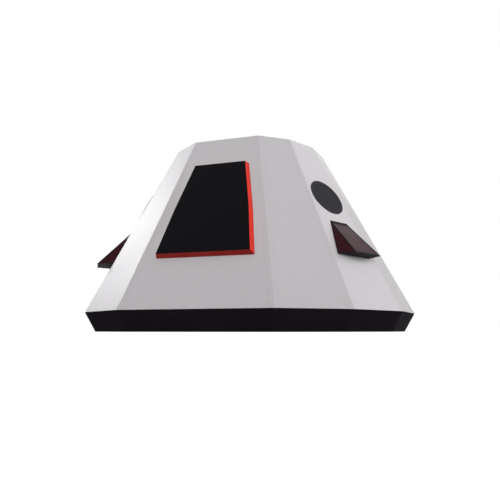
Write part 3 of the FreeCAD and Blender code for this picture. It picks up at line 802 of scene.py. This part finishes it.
def make_studio():
    """White world for what is seen, soft light for the rest, and a pale floor that keeps shadow."""
    scene.view_settings.view_transform = "Standard"
    scene.world = bpy.data.worlds.new("studio")
    scene.world.use_nodes = True
    graph = Graph(scene.world.node_tree)
    light = graph.tree.nodes["Background"].inputs
    graph.put(light["Color"], (1.0, 1.0, 1.0))
    graph.put(light["Strength"], plain_rays(graph).ramp(0.0, 1.0, 0.17, 1.0))
    mesh, reach = bpy.data.meshes.new("floor"), 80.0
    corners = block(reach, -reach, reach, steps=1) @ np.eye(2, 3)
    mesh.from_pydata(corners.tolist(), [], [(0, 1, 2, 3)])
    floor = linked("floor", mesh)
    material = bpy.data.materials.new("studio_floor")
    material.use_nodes = True
    graph = Graph(material.node_tree)
    for label, value in {"Base Color": (0.12, 0.12, 0.12), "Roughness": 0.95,
                         "Specular IOR Level": 0.1, "Emission Color": (1.0, 1.0, 1.0),
                         "Emission Strength": plain_rays(graph) * 0.95}.items():
        graph.put(graph.tree.nodes["Principled BSDF"].inputs[label], value)
    mesh.materials.append(material)


# Outside: hull, skirt and portholes
def edge_places(half, length, inset, gap):
    """Places round the border of a hull panel, whose half width is corner radius x sin(half)."""
    rises = evenly(inset * 2, length - inset * 2, gap)
    side = (BASE_RADIUS + (TOP_RADIUS - BASE_RADIUS) * rises / length) * math.sin(half) - inset
    rows = [(side, rises), (-side, rises)]
    for radius, rise in ((BASE_RADIUS, inset), (TOP_RADIUS, length - inset)):
        reach = radius * math.sin(half) - inset * 3
        across = evenly(-reach, reach, gap)
        rows.append((across, np.full_like(across, rise)))
    return np.concatenate(rows, 1)


def make_border_screws():
    """Flush screws along the borders of every hull panel, and along the top of the skirt."""
    hull, skirt = Surfaces(), Surfaces()
    inset, gap, skirt_inset, skirt_gap, skirt_rise = 0.024, 0.145, 0.05, 0.16, 0.206
    for azimuth, half in PANELS:
        plane = panel_plane(azimuth, half)
        length = math.hypot(HULL_HEAD - HULL_FOOT, (BASE_RADIUS - TOP_RADIUS) * math.cos(half))
        places = edge_places(half, length, inset, gap)
        hull.heads(HULL_SCREW, plane.at(*places), plane.axes[2])
        plane = panel_plane(azimuth, half, SKIRT)
        reach = BASE_RADIUS * math.sin(half) - skirt_inset
        row = plane.at(evenly(-reach, reach, skirt_gap), skirt_rise)
        skirt.heads(HULL_SCREW, row, plane.axes[2])
    hull.make("hull_screws", ROOT, "hull_paint")
    skirt.make("skirt_screws", ROOT, "skirt_black")


def make_porthole_trims():
    """Screws on the outer porthole rings, and rounded inner rings with their own screws."""
    screws, trims, inner_screws = Surfaces(), Surfaces(), Surfaces()
    section = [(0.172, 0.0), (0.172, 0.006), (0.175, 0.009), (0.224, 0.009), (0.228, 0.005),
               (0.228, 0.0)]
    for azimuth in PORTHOLE_AZIMUTHS:
        plane = panel_plane(azimuth).moved(0.0, PORTHOLE_RISE)
        screws.heads(SMALL_SCREW, plane.at(*circle(0.209, 16).T, 0.006), plane.axes[2])
        inside = plane.behind(HULL_WALL)
        trims.add(inside.lay(turned(section)), ring=True)
        inner_screws.heads(SMALL_SCREW, inside.at(*circle(0.212, 16).T, 0.009), inside.axes[2])
    screws.make("porthole_screws", ROOT, "trim_black", "porthole_black")
    trims.make("porthole_inner_rings", ROOT, "liner_grey")
    inner_screws.make("porthole_inner_screws", ROOT, "handle_steel")


# Side hatch
def make_hatch_outside():
    """Flush screws round the hatch face, and a bulb seal between the frame and the hull."""
    places, _ = loop_places(hatch_loop(0.030, HATCH_TOP), 0.150)
    heads = Surfaces().heads(FACE_SCREW, HATCH_PANEL.at(*places.T, HATCH_TOP), HATCH_PANEL.axes[2])
    heads.make("hatch_face_screws", HATCH, "hatch_black")
    bulb = circle(1.0, 12) * (0.0052, 0.0041) + (0.0, 0.0040)
    seal = HATCH_PANEL.lay(banded(hatch_loop(0.024, 0.0, 0.03, 8), bulb))
    Surfaces().add(seal, ring=True).make("hatch_seal", HATCH, "trim_black", "seal_rubber")


def make_hatch_inside():
    """Stiffening ribs, latch dogs with their linkage, and the gearbox on the plug's inner side."""
    out = INNER.axes[2]
    ribs, bar = Surfaces(), block(0.006, 0.0, 0.014, 0.002)
    ribs.add(INNER.lay(banded(hatch_loop(RIB_MARGIN, 0.0, 0.03, 8), bar)), ring=True)
    for rise in (0.86, 1.46):
        edge = np.interp(rise, HATCH_OUTLINE[1:4, 1], HATCH_OUTLINE[1:4, 0])
        reach = edge - RIB_MARGIN - 0.002
        ribs.add(carried(INNER.at([-reach, reach], rise), out, bar))
    for x in (-0.13, 0.13):
        ribs.add(carried(INNER.at(x, [0.712, 1.622]), out, bar))
    ribs.make("hatch_inner_ribs", HATCH, "liner_grey")
    housings, bolts = Surfaces(), Surfaces()
    body = plated(block(0.030, -0.020, 0.020, 0.006),
                  [(0, 0), (0, 0.018), (-0.003, 0.021), (-0.006, 0.022)])
    for place, (nx, ny) in zip(*loop_places(hatch_loop(LATCH_MARGIN, 0.0, 0.05, 8), 0.38)):
        spot = Plane(INNER.at(*place), (ny, -nx, 0.0) @ INNER.axes, (nx, ny, 0.0) @ INNER.axes)
        housings.add(spot.lay(body))
        bolts.add(carried(spot.at(0.0, [-0.034, 0.020], 0.011), out, circle(0.0075, 12)))
        bolts.heads(FINE_SCREW, spot.at([-0.021, 0.021], 0.0, 0.022), out)
    housings.make("hatch_latch_housings", HATCH, "ring_aluminium")
    link = banded(hatch_loop(LINK_MARGIN, 0.0, 0.03, 8), circle(0.0055, 10) + (0.0, 0.020))
    bolts.add(INNER.lay(link), ring=True)
    for x, y in ((0.0, 0.70), (0.0, 1.636), (-0.264, 1.28), (0.304, 1.05)):
        bolts.add(carried(INNER.at([0.0, x], [GEAR_RISE, y], 0.020), out, circle(0.0065, 10)))
    bolts.make("hatch_latch_linkage", HATCH, "handle_steel")
    drum = [(0, 0), (0.088, 0), (0.088, 0.006), (0.076, 0.009), (0.074, 0.030), (0.068, 0.036),
            (0.030, 0.038), (0.028, 0.046), (0.024, 0.048), (0, 0.048)]
    gear = INNER.moved(0.0, GEAR_RISE)
    gearbox = Surfaces().add(gear.lay(turned(drum, 48)))
    gearbox.heads(FINE_SCREW, gear.at(*circle(0.082, 8).T, 0.0075), out)
    crank = smooth_line([(0.0, 0.0, 0.043), (0.05, 0.02, 0.046), (0.10, 0.045, 0.050),
                         (0.118, 0.053, 0.051)], 6)
    gearbox.add(carried(gear.lay(crank), out, block(0.011, -0.004, 0.004, 0.002)))
    gearbox.make("hatch_gearbox", HATCH, "ring_aluminium")
    knob = [(0, 0), (0.011, 0), (0.012, 0.006), (0.016, 0.016), (0.015, 0.028), (0.009, 0.034),
            (0, 0.035)]
    knob = gear.moved(0.112, 0.050, 0.053).lay(turned(knob, 20))
    Surfaces().add(knob).make("hatch_crank_knob", HATCH, "trim_black")


def make_doorway_sill():
    """Machined sill: lines the doorway and laps on the inner skin, with screws through the lap."""
    lap = 0.064
    section = [(-0.003, -lap), (-0.003, 0.002), (0.0, 0.002), (0.0, -0.0598), (0.030, -0.0598),
               (0.030, -lap)]
    grid = HATCH_PANEL.lay(banded(hatch_loop(DOORWAY_MARGIN, 0.0, 0.0015, 4), section))
    Surfaces().add(grid, ring=True).make("doorway_sill", ROOT, "ring_aluminium")
    places, _ = loop_places(hatch_loop(DOORWAY_MARGIN - 0.017, 0.0, 0.004, 4), 0.16)
    heads = Surfaces().heads(SCREW, HATCH_PANEL.at(*places.T, -lap), INNER.axes[2])
    heads.make("doorway_sill_screws", ROOT, "handle_steel")


# Docking ring, lid and top deck
def make_docking_details():
    """Face seals on the flange, a gasket under the lid's edge, lid dogs and lid screws."""
    seals = Surfaces()
    for radius in (0.478, 0.500):
        seals.add(turned(circle(0.0040, 12) + (radius, FLANGE_TOP)), ring=True)
    seals.make("docking_face_seals", ROOT, "trim_black", "seal_rubber")
    gasket = turned([(0.4320, 2.2962), (0.4435, 2.2962), (0.4450, 2.2976), (0.4450, 2.3003),
                     (0.4320, 2.3003)])
    Surfaces().add(gasket, ring=True).make("docking_lid_gasket", LID, "trim_black", "seal_rubber")
    dogs = Surfaces()
    body = plated(block(0.034, -0.026, 0.022, 0.006, 5, top=0.026),
                  [(0, 0), (0, 0.011), (-0.0025, 0.0135), (-0.005, 0.014)])
    for azimuth in (0, 60, 120, 240, 300):
        turn = math.radians(azimuth)
        spot = Plane(heading(turn) * 0.419 + (0, 0, LID_TOP), heading(turn + math.pi / 2),
                     -heading(turn))
        dogs.add(spot.lay(body)).heads(SCREW, spot.at([-0.020, 0.020], 0.0, 0.014))
    dogs.make("docking_lid_dogs", LID, "handle_steel")
    ring = np.insert(circle(0.298, 20, 0.5), 2, LID_TOP + 0.034, 1)
    Surfaces().heads(SMALL_SCREW, ring).make("docking_lid_screws", LID, "handle_steel")


def bent(points, middle, radius):
    """Flat plate laid round the axis: x becomes the turn x / radius from a middle azimuth."""
    turn = middle + points[..., 0] / radius
    reach = radius + points[..., 1]
    return np.stack([np.sin(turn) * reach, -np.cos(turn) * reach, points[..., 2]], -1)


def panel_loop(half, reach, radius, steps=4, along=11):
    """Rounded rectangle whose two long sides are divided, as bottom, right, top and left."""
    side = np.linspace(-1, 1, along) * (half - radius)
    turn = np.linspace(0, math.pi / 2, steps)[1:-1]
    arc = np.stack([np.sin(turn), -np.cos(turn)], 1) * radius
    x, y = half - radius, reach - radius
    part = np.concatenate([np.stack([side, np.full(along, -reach)], 1), arc + (x, -y),
                           [(half, -y), (half, y)], arc[::-1] * (1, -1) + (x, y)])
    return np.concatenate([part, -part])


def make_deck_details():
    """Four crowned bay covers between four grab rails on the top deck."""
    covers, screws, rails = Surfaces(), Surfaces(), Surfaces()
    radius, reach, half, margin, post = 0.755, 0.095, 0.400, 0.012, 0.100
    crown = [(0, 0), (0, 0.008), (0.003, 0.011), (0.006, 0.012), (0.020, 0.0125),
             (0.024, 0.0155), (0.040, 0.0165), (0.085, 0.0170)]
    rows = [np.insert(panel_loop(half - inward, reach - inward, 0.009), 2, high, 1)
            for inward, high in crown]
    cover = np.stack([rows[0] * (1, 0, 1), *rows, rows[-1] * (1, 0, 1)]) + (0, 0, HULL_HEAD)
    places, _ = loop_places(block(half - margin, margin - reach, reach - margin, 0.0, 1), 0.09)
    places = np.insert(places, 2, HULL_HEAD + 0.0122, 1)
    bow = [(-post, -0.004), (-post, 0.030), (-0.092, 0.050), (-0.070, 0.056), (0.0, 0.056),
           (0.070, 0.056), (0.092, 0.050), (post, 0.030), (post, -0.004)]
    rail = smooth_line(np.insert(bow, 1, 0.0, 1), 5) + (0, 0, HULL_HEAD)
    foot = turned([(0, 0), (0.024, 0), (0.024, 0.004), (0.015, 0.007), (0.012, 0.012),
                   (0, 0.012)], 20)
    for middle in (45, 135, 225, 315):
        turn = math.radians(middle)
        covers.add(bent(cover, turn, radius))
        screws.heads(SCREW, bent(places, turn, radius))
        turn += math.pi / 4
        rails.add(carried(bent(rail, turn, radius), heading(turn), circle(0.010, 16)))
        feet = np.array([(-post, 0.0, HULL_HEAD), (post, 0.0, HULL_HEAD)])
        rails.add(standing(foot, bent(feet, turn, radius)))
    covers.make("deck_bay_covers", ROOT, "lid_paint")
    screws.make("deck_bay_screws", ROOT, "handle_steel")
    rails.make("deck_grab_rails", ROOT, "handle_steel")


# Cabin
def make_cabin_fittings():
    """Lamp ring and grab ring under the top deck."""
    lamp = turned(block(0.022, -0.014, 0.010, 0.007) + (0.560, CEILING - 0.008))
    Surfaces().add(lamp, ring=True).make("cabin_lamp", ROOT, "liner_grey", "lamp_white")
    radius = 0.720
    rail = Surfaces().add(turned(circle(0.011, 14) + (radius, CEILING - 0.070)), ring=True)
    feet = np.insert(circle(radius, 8, 0.5), 2, CEILING, 1)
    post = turned([(0, 0), (0.022, 0), (0.022, 0.004), (0.010, 0.010), (0.008, 0.068), (0, 0.068)],
                  16)
    rail.add(standing(post, feet, (0.0, 0.0, -1.0))).make("cabin_grab_ring", ROOT, "handle_steel")


def make_lockers():
    """Six wall lockers with a door groove, and two turn latches on each."""
    boxes, latches = Surfaces(), Surfaces()
    door = 0.174
    box = plated(block(0.22, 0.34, 0.86, 0.03, 6, top=0.20), [
        (0, -0.002), (0, 0.125), (-0.005, 0.127), (-0.005, 0.132), (0, 0.134), (0, 0.160),
        (-0.004, 0.168), (-0.012, 0.1725), (-0.026, door)])
    knob = turned([(0, 0), (0.026, 0), (0.026, 0.004), (0.020, 0.008), (0.018, 0.016),
                   (0, 0.018)], 24)
    for azimuth in LOCKER_AZIMUTHS:
        wall = panel_plane(azimuth).behind(HULL_WALL)
        boxes.add(wall.lay(box))
        latches.add(standing(knob, wall.at(0.0, [0.42, 0.78], door), wall.axes[2]))
    boxes.make("cabin_lockers", ROOT, "liner_grey")
    latches.make("locker_latches", ROOT, "handle_steel")


SLOPE = Plane((0.0, 0.210, 0.625), (-1.0, 0.0, 0.0), (0.0, -0.470, 0.220))
SCREENS = ((0.028, 0.24744), (0.27144, 0.49088))


def make_console_details():
    """Bezels round the two screens, rows of keys, and grab rails down the console's sides."""
    bezels, keys, rails = Surfaces(), Surfaces(), Surfaces()
    section = rounded([(0.0006, 0.0), (0.006, 0.0), (0.006, 0.009), (0.0006, 0.011)], 0.0012, 3)
    for low, high in SCREENS:
        bezels.add(SLOPE.lay(banded(block(0.102, low, high, 0.002, 3), section)), ring=True)
    bezels.make("console_bezels", ROOT, "console_plastic")
    cap = plated(block(0.0065, -0.0042, 0.0042, 0.0015, 3),
                 [(0, 0), (0, 0.0030), (-0.001, 0.0040), (-0.002, 0.0040)]) @ SLOPE.axes
    for rise in (0.0085, 0.2594, 0.5100):
        keys.add(SLOPE.at(np.linspace(-0.096, 0.096, 11), rise)[:, None, None] + cap)
    keys.make("console_keys", ROOT, "liner_grey")
    bow = [(0.050, -0.004), (0.055, 0.026), (0.085, 0.038), (0.26, 0.040), (0.435, 0.038),
           (0.465, 0.026), (0.470, -0.004)]
    for x in (-0.1225, 0.1225):
        path = SLOPE.lay(smooth_line(np.insert(bow, 0, x, 1), 5))
        rails.add(carried(path, SLOPE.axes[0], circle(0.006, 12)))
    rails.make("console_grab_rails", ROOT, "handle_steel")


def make_console_panels():
    """Access panel on each end of the console, with hooded vents, held by round screws."""
    plates, screws, low = Surfaces(), Surfaces(), 0.045
    plate = [(0, -0.001), (0, 0.003), (-0.0008, 0.0042), (-0.002, 0.0048)]
    hood = np.array([(-0.007, 0.0040), (0.005, 0.0125), (0.0075, 0.0125), (0.0080, 0.0040)])
    for y, high, out in ((-0.260, 0.575, 1.0), (0.210, 0.360, -1.0)):
        end = Plane((0.0, y, HULL_FOOT), (out, 0.0, 0.0), UP)
        plates.add(end.lay(plated(block(0.098, low, high, 0.014, 5), plate)))
        for rise in high - 0.055 - 0.026 * np.arange(6):
            plates.add(carried(end.at([-0.066, 0.066], rise), end.axes[2], hood))
        for rise in (low + 0.015, (high + low) / 2, high - 0.015):
            screws.heads(SCREW, end.at([-0.084, 0.084], rise, 0.0048), end.axes[2])
    plates.make("console_access_panels", ROOT, "console_plastic")
    screws.make("console_panel_screws", ROOT, "handle_steel")


# Couches. Each kind of cushion: half width, low and high end, and its sewn lines, of which
# one far off stands for none
CUSHIONS = {"seat": (0.248, -0.480, -0.1175, (-0.36, -0.24)),
            "back": (0.248, 0.012, 0.572, (0.12, 0.26, 0.42)),
            "head": (0.150, 0.592, 0.782, (9.0,))}
CLOTH = {"quality": 5, "mass": 0.3, "tension_stiffness": 12.0, "compression_stiffness": 12.0,
         "shear_stiffness": 5.0, "bending_stiffness": 0.3, "use_pressure": True,
         "uniform_pressure_force": 4.0, "vertex_group_mass": "sewn"}
SWELL_FRAMES, SWELL_REACH, VOXEL = 20, 0.016, 0.008
PULL_DEPTH, PULL_WIDTH, GROOVE = 0.014, 0.022, 0.0045


def seat_plane(x):
    """Top face of a couch's seat plate: y runs towards the back, z up."""
    return Plane((x, SEAT_END, SEAT_TOP))


def back_plane(x):
    """Front face of a couch's back plate: y runs up it, z out towards the crew."""
    return Plane((x, SEAT_END, SEAT_TOP), y=(0.0, math.sin(RECLINE), math.cos(RECLINE)))


def cushion_start(half_width, low, high, inset=0.008):
    """Crowned pad a little inside its solid: rounded outline, soft rim, higher in the middle."""
    loop = block(half_width - inset, low + inset, high - inset, 0.045, 8)
    edge = CUSHION_THICKNESS - 0.012
    return plated(loop, [(-0.012, 0.0015), (-0.002, 0.012), (0.0, 0.030), (0.0, edge - 0.028),
                         (-0.006, edge - 0.012), (-0.018, edge - 0.004), (-0.036, edge)])


def read_points(mesh):
    """Vertex places of a mesh as an array."""
    points = np.zeros(len(mesh.vertices) * 3, np.float32)
    mesh.vertices.foreach_get("co", points)
    return points.reshape(-1, 3).astype(float)


def write_points(mesh, points):
    mesh.vertices.foreach_set("co", points.astype(np.float32).ravel())


def evaluated(piece):
    """A piece as its modifiers leave it."""
    return piece.evaluated_get(bpy.context.evaluated_depsgraph_get())


def off_seams(points, seams):
    """How far each point is from the nearest sewn line."""
    return np.abs(points[:, 1:2] - np.asarray(seams)).min(1)


def swollen(pad, rest):
    """Cloth simulation: the pad swells under pressure, each point by at most a reach."""
    cloth = pad.modifiers.new("swell", "CLOTH")
    for key, value in CLOTH.items():
        setattr(cloth.settings, key, value)
    cloth.settings.effector_weights.gravity = 0.0
    cloth.point_cache.frame_end = SWELL_FRAMES
    for step in range(1, SWELL_FRAMES + 1):
        scene.frame_set(step)
    move = read_points(evaluated(pad).data) - rest
    far = np.linalg.norm(move, axis=1, keepdims=True)
    pad.modifiers.clear()
    scene.frame_set(1)
    return rest + move * np.minimum(1.0, SWELL_REACH / np.maximum(far, 1e-9))


def fill_cushion(local, seams):
    """Evenly meshed pad, pulled in along its sewn lines, swollen between them and made finer.

    No point goes below the plate. Returns local points and quads after one subdivision, with
    a fine groove pressed along each sewn line.
    """
    pad = linked("pad", Surfaces().add(local).mesh("pad"))
    remesh = pad.modifiers.new("even", "REMESH")
    remesh.mode, remesh.voxel_size = "VOXEL", VOXEL
    even = bpy.data.meshes.new_from_object(evaluated(pad))
    pad.modifiers.clear()
    pad.data = even
    rest = read_points(even)
    off = off_seams(rest, seams)
    upper = rest[:, 2] > CUSHION_THICKNESS * 0.45
    rest[:, 2] -= PULL_DEPTH * np.exp(-(off / PULL_WIDTH) ** 2) * upper
    write_points(even, rest)
    sewn = pad.vertex_groups.new(name="sewn")
    for held in ((off < VOXEL * 0.6) & (rest[:, 2] > CUSHION_THICKNESS * 0.42),
                 rest[:, 2] < 0.004):
        sewn.add(np.flatnonzero(held).tolist(), 1.0, "REPLACE")
    moved = swollen(pad, rest)
    moved[:, 2] = np.maximum(moved[:, 2], 0.0006)
    write_points(even, moved)
    finer = pad.modifiers.new("finer", "SUBSURF")
    finer.levels = finer.render_levels = 1
    done = bpy.data.meshes.new_from_object(evaluated(pad))
    bpy.data.objects.remove(pad)
    points = read_points(done)
    off = off_seams(points, seams)
    rim = np.clip((points[:, 2] / CUSHION_THICKNESS - 0.35) / 0.3, 0, 1)
    points[:, 2] -= GROOVE * np.exp(-(off / GROOVE) ** 2) * rim
    points[:, 2] = np.maximum(points[:, 2], 0.0004)
    quads = np.zeros(len(done.loops), np.int32)
    done.loops.foreach_get("vertex_index", quads)
    return points, quads.reshape(-1, 4)


def cloth_map(mesh, local, quads):
    """UV in metres: each face is laid on the plane that its local normal is nearest to."""
    corner = local[quads]
    normal = np.abs(np.cross(corner[:, 2] - corner[:, 0], corner[:, 3] - corner[:, 1]))
    kept = np.array([(1, 2), (0, 2), (0, 1)])[normal.argmax(1)]
    flat = np.take_along_axis(corner, kept[:, None, :].repeat(4, 1), 2)
    layer = mesh.uv_layers.new(name="cloth")
    layer.data.foreach_set("uv", flat.reshape(-1).astype(np.float32))


def make_cushions():
    """Six cushions: each kind is simulated once and laid on both couches."""
    pads = {"right": [], "left": []}
    for part, (half, low, high, seams) in CUSHIONS.items():
        local, quads = fill_cushion(cushion_start(half, low, high), seams)
        for side, x in (("right", COUCH_X), ("left", -COUCH_X)):
            plate = seat_plane(x) if part == "seat" else back_plane(x)
            mesh = bpy.data.meshes.new(f"cushion_{part}_{side}")
            placed = plate.moved(0.0, 0.0, 0.0003).lay(local)
            mesh.from_pydata(placed.tolist(), [], quads.tolist())
            cloth_map(mesh, local, quads)
            piece = settle(mesh, f"cushion_{part}_{side}", ROOT, "couch_fabric", crease=60)
            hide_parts(f"couch_cushions_{side}")
            pads[side].append((placed, quads))
    return pads


BUCKLE, STRAP_WIDTH, STRAP_THICKNESS, STRAP_LIFT = -0.300, 0.046, 0.0022, 0.0012


def webbing(straps, path, facing):
    """Flat strap section carried along a path; its map runs across it and along it."""
    section = block(STRAP_WIDTH / 2, 0.0, STRAP_THICKNESS, STRAP_THICKNESS * 0.45, 3)
    grid = carried(path, facing, section)
    run = np.pad(run_along(path), 1, "edge")[:, None] / STRAP_WIDTH
    across = section[None, :, 0] / STRAP_WIDTH + 0.5
    straps.add(grid, uv=np.stack(np.broadcast_arrays(across, run), -1))


def make_harness(side, x, pads):
    """Shoulder, lap and crotch straps that lie on the cushions and meet at a round buckle."""
    points = np.concatenate([p for p, _ in pads])
    shift = np.cumsum([0] + [len(p) for p, _ in pads])
    quads = np.concatenate([q + s for (_, q), s in zip(pads, shift)])
    tree = BVHTree.FromPolygons(points.tolist(), quads.tolist())
    back, seat = back_plane(x), seat_plane(x)
    lean = back.axes[2] + seat.axes[2]

    def lain(line, facing):
        """The line dropped along facing onto the cushions, then evened out above them."""
        hits = [tree.ray_cast(Vector(p + f * 0.25), Vector(-f))[0] for p, f in zip(line, facing)]
        rest = np.array([p if h is None else tuple(h) for h, p in zip(hits, line)])
        even = rest.copy()
        for _ in range(12):
            even[1:-1] = (even[:-2] + 2 * even[1:-1] + even[2:]) / 4
            high = ((even - rest) * facing).sum(1, keepdims=True)
            even += facing * np.maximum(-high, 0.0)
        return even + facing * STRAP_LIFT

    straps = Surfaces()

    def lay_strap(line, steps, face=seat.axes[2:]):
        """One strap along a line above the cushions, facing as they do."""
        face = unit(smooth_line(np.broadcast_to(face, np.shape(line)), steps))
        webbing(straps, lain(smooth_line(line, steps), face), face)

    for sign in (1, -1):
        shoulder = np.concatenate([
            back.at(sign * 0.085, [0.578, 0.545, 0.45, 0.35, 0.25, 0.17], 0.03),
            seat.at(sign * 0.074, [-0.060, -0.120], [0.13, 0.11]),
            seat.at(np.array([0.055, 0.030, 0.020]) * sign, [-0.190, -0.245, BUCKLE + 0.036],
                    0.03)])
        lay_strap(shoulder, 6, [back.axes[2]] * 6 + [lean] * 2 + [seat.axes[2]] * 3)
        lay_strap(seat.at(np.array([0.236, 0.20, 0.15, 0.10, 0.05, 0.034]) * sign,
                          [-0.235, -0.243, -0.262, -0.281, -0.297, BUCKLE], 0.03), 7)
    lay_strap(seat.at(0.0, [-0.468, -0.43, -0.39, BUCKLE - 0.036], 0.03), 7)
    straps.make(f"harness_{side}", ROOT, "couch_fabric", "strap_webbing")
    case = [(0, 0), (0.034, 0), (0.038, 0.004), (0.038, 0.014), (0.034, 0.018), (0.026, 0.019),
            (0.025, 0.024), (0.021, 0.027), (0, 0.027)]
    spot = Plane(lain(seat.at([0.0], BUCKLE, 0.03), seat.axes[2:])[0] - (0, 0, 0.002))
    lock = Surfaces().add(spot.lay(turned(case, 32)))
    tongue = plated(block(0.026, -0.022, 0.010, 0.004, top=0.016), [(0, -0.0015), (0, 0.0015)])
    for azimuth in (155, 95, 205, 265, 0):
        out = heading(math.radians(azimuth))
        lock.add(Plane(spot.lay(out * 0.042 + (0, 0, 0.007)), (-out[1], out[0], 0.0),
                       -out).lay(tongue))
    lock.make(f"harness_buckle_{side}", ROOT, "handle_steel")


def make_armrests(side, x):
    """Outboard armrest on a bent strut, with a hand controller on its front end."""
    away = math.copysign(1.0, x)
    edge = x + away * 0.262
    strut = [(edge, 0.20, 0.450), (edge + away * 0.022, 0.195, 0.500),
             (edge + away * 0.030, 0.170, 0.620), (edge + away * 0.030, 0.150, 0.712)]
    strut = carried(smooth_line(strut, 6), (away, 0.0, 0.0), block(0.022, -0.007, 0.007, 0.004))
    Surfaces().add(strut).make(f"couch_arm_{side}", ROOT, "couch_paint")
    top = Plane((edge + away * 0.030, 0.020, 0.708))
    pad = plated(block(0.036, -0.170, 0.190, 0.022, 7),
                 [(-0.003, 0.0), (0.0, 0.004), (0.0, 0.016), (-0.004, 0.025), (-0.012, 0.030),
                  (-0.022, 0.032)])
    Surfaces().add(top.lay(pad)).make(f"couch_arm_rest_{side}", ROOT, "console_plastic")
    stick = [(0, 0.0), (0.026, 0.0), (0.027, 0.006), (0.020, 0.010), (0.023, 0.016),
             (0.017, 0.021), (0.020, 0.027), (0.014, 0.033), (0.013, 0.040), (0.017, 0.052),
             (0.019, 0.070), (0.017, 0.090), (0.018, 0.112), (0.020, 0.126), (0.016, 0.138),
             (0, 0.142)]
    grid = turned(stick, 28) * (0.85, 1.1, 1.0)
    grid[..., 1] -= grid[..., 2] ** 2 * 1.6 + 0.125
    grid[..., 2] += 0.028
    Surfaces().add(top.lay(grid)).make(f"hand_controller_{side}", ROOT, "trim_black")


# Order of making
make_studio()
make_lamps()
make_camera()
for part in frame["record"]["subparts"]:
    faded = part["node"].startswith("porthole_frame")
    nodes[part["node"]].data.materials.clear()
    nodes[part["node"]].data.materials.append(
        finishes["porthole_black" if faded else part["material_slot"]])
for make in (make_border_screws, make_porthole_trims, make_hatch_outside, make_hatch_inside,
             make_doorway_sill, make_docking_details, make_deck_details, make_cabin_fittings,
             make_lockers, make_console_details, make_console_panels):
    make()
pads = make_cushions()
for side, x in (("right", COUCH_X), ("left", -COUCH_X)):
    make_harness(side, x, pads[side])
    make_armrests(side, x)
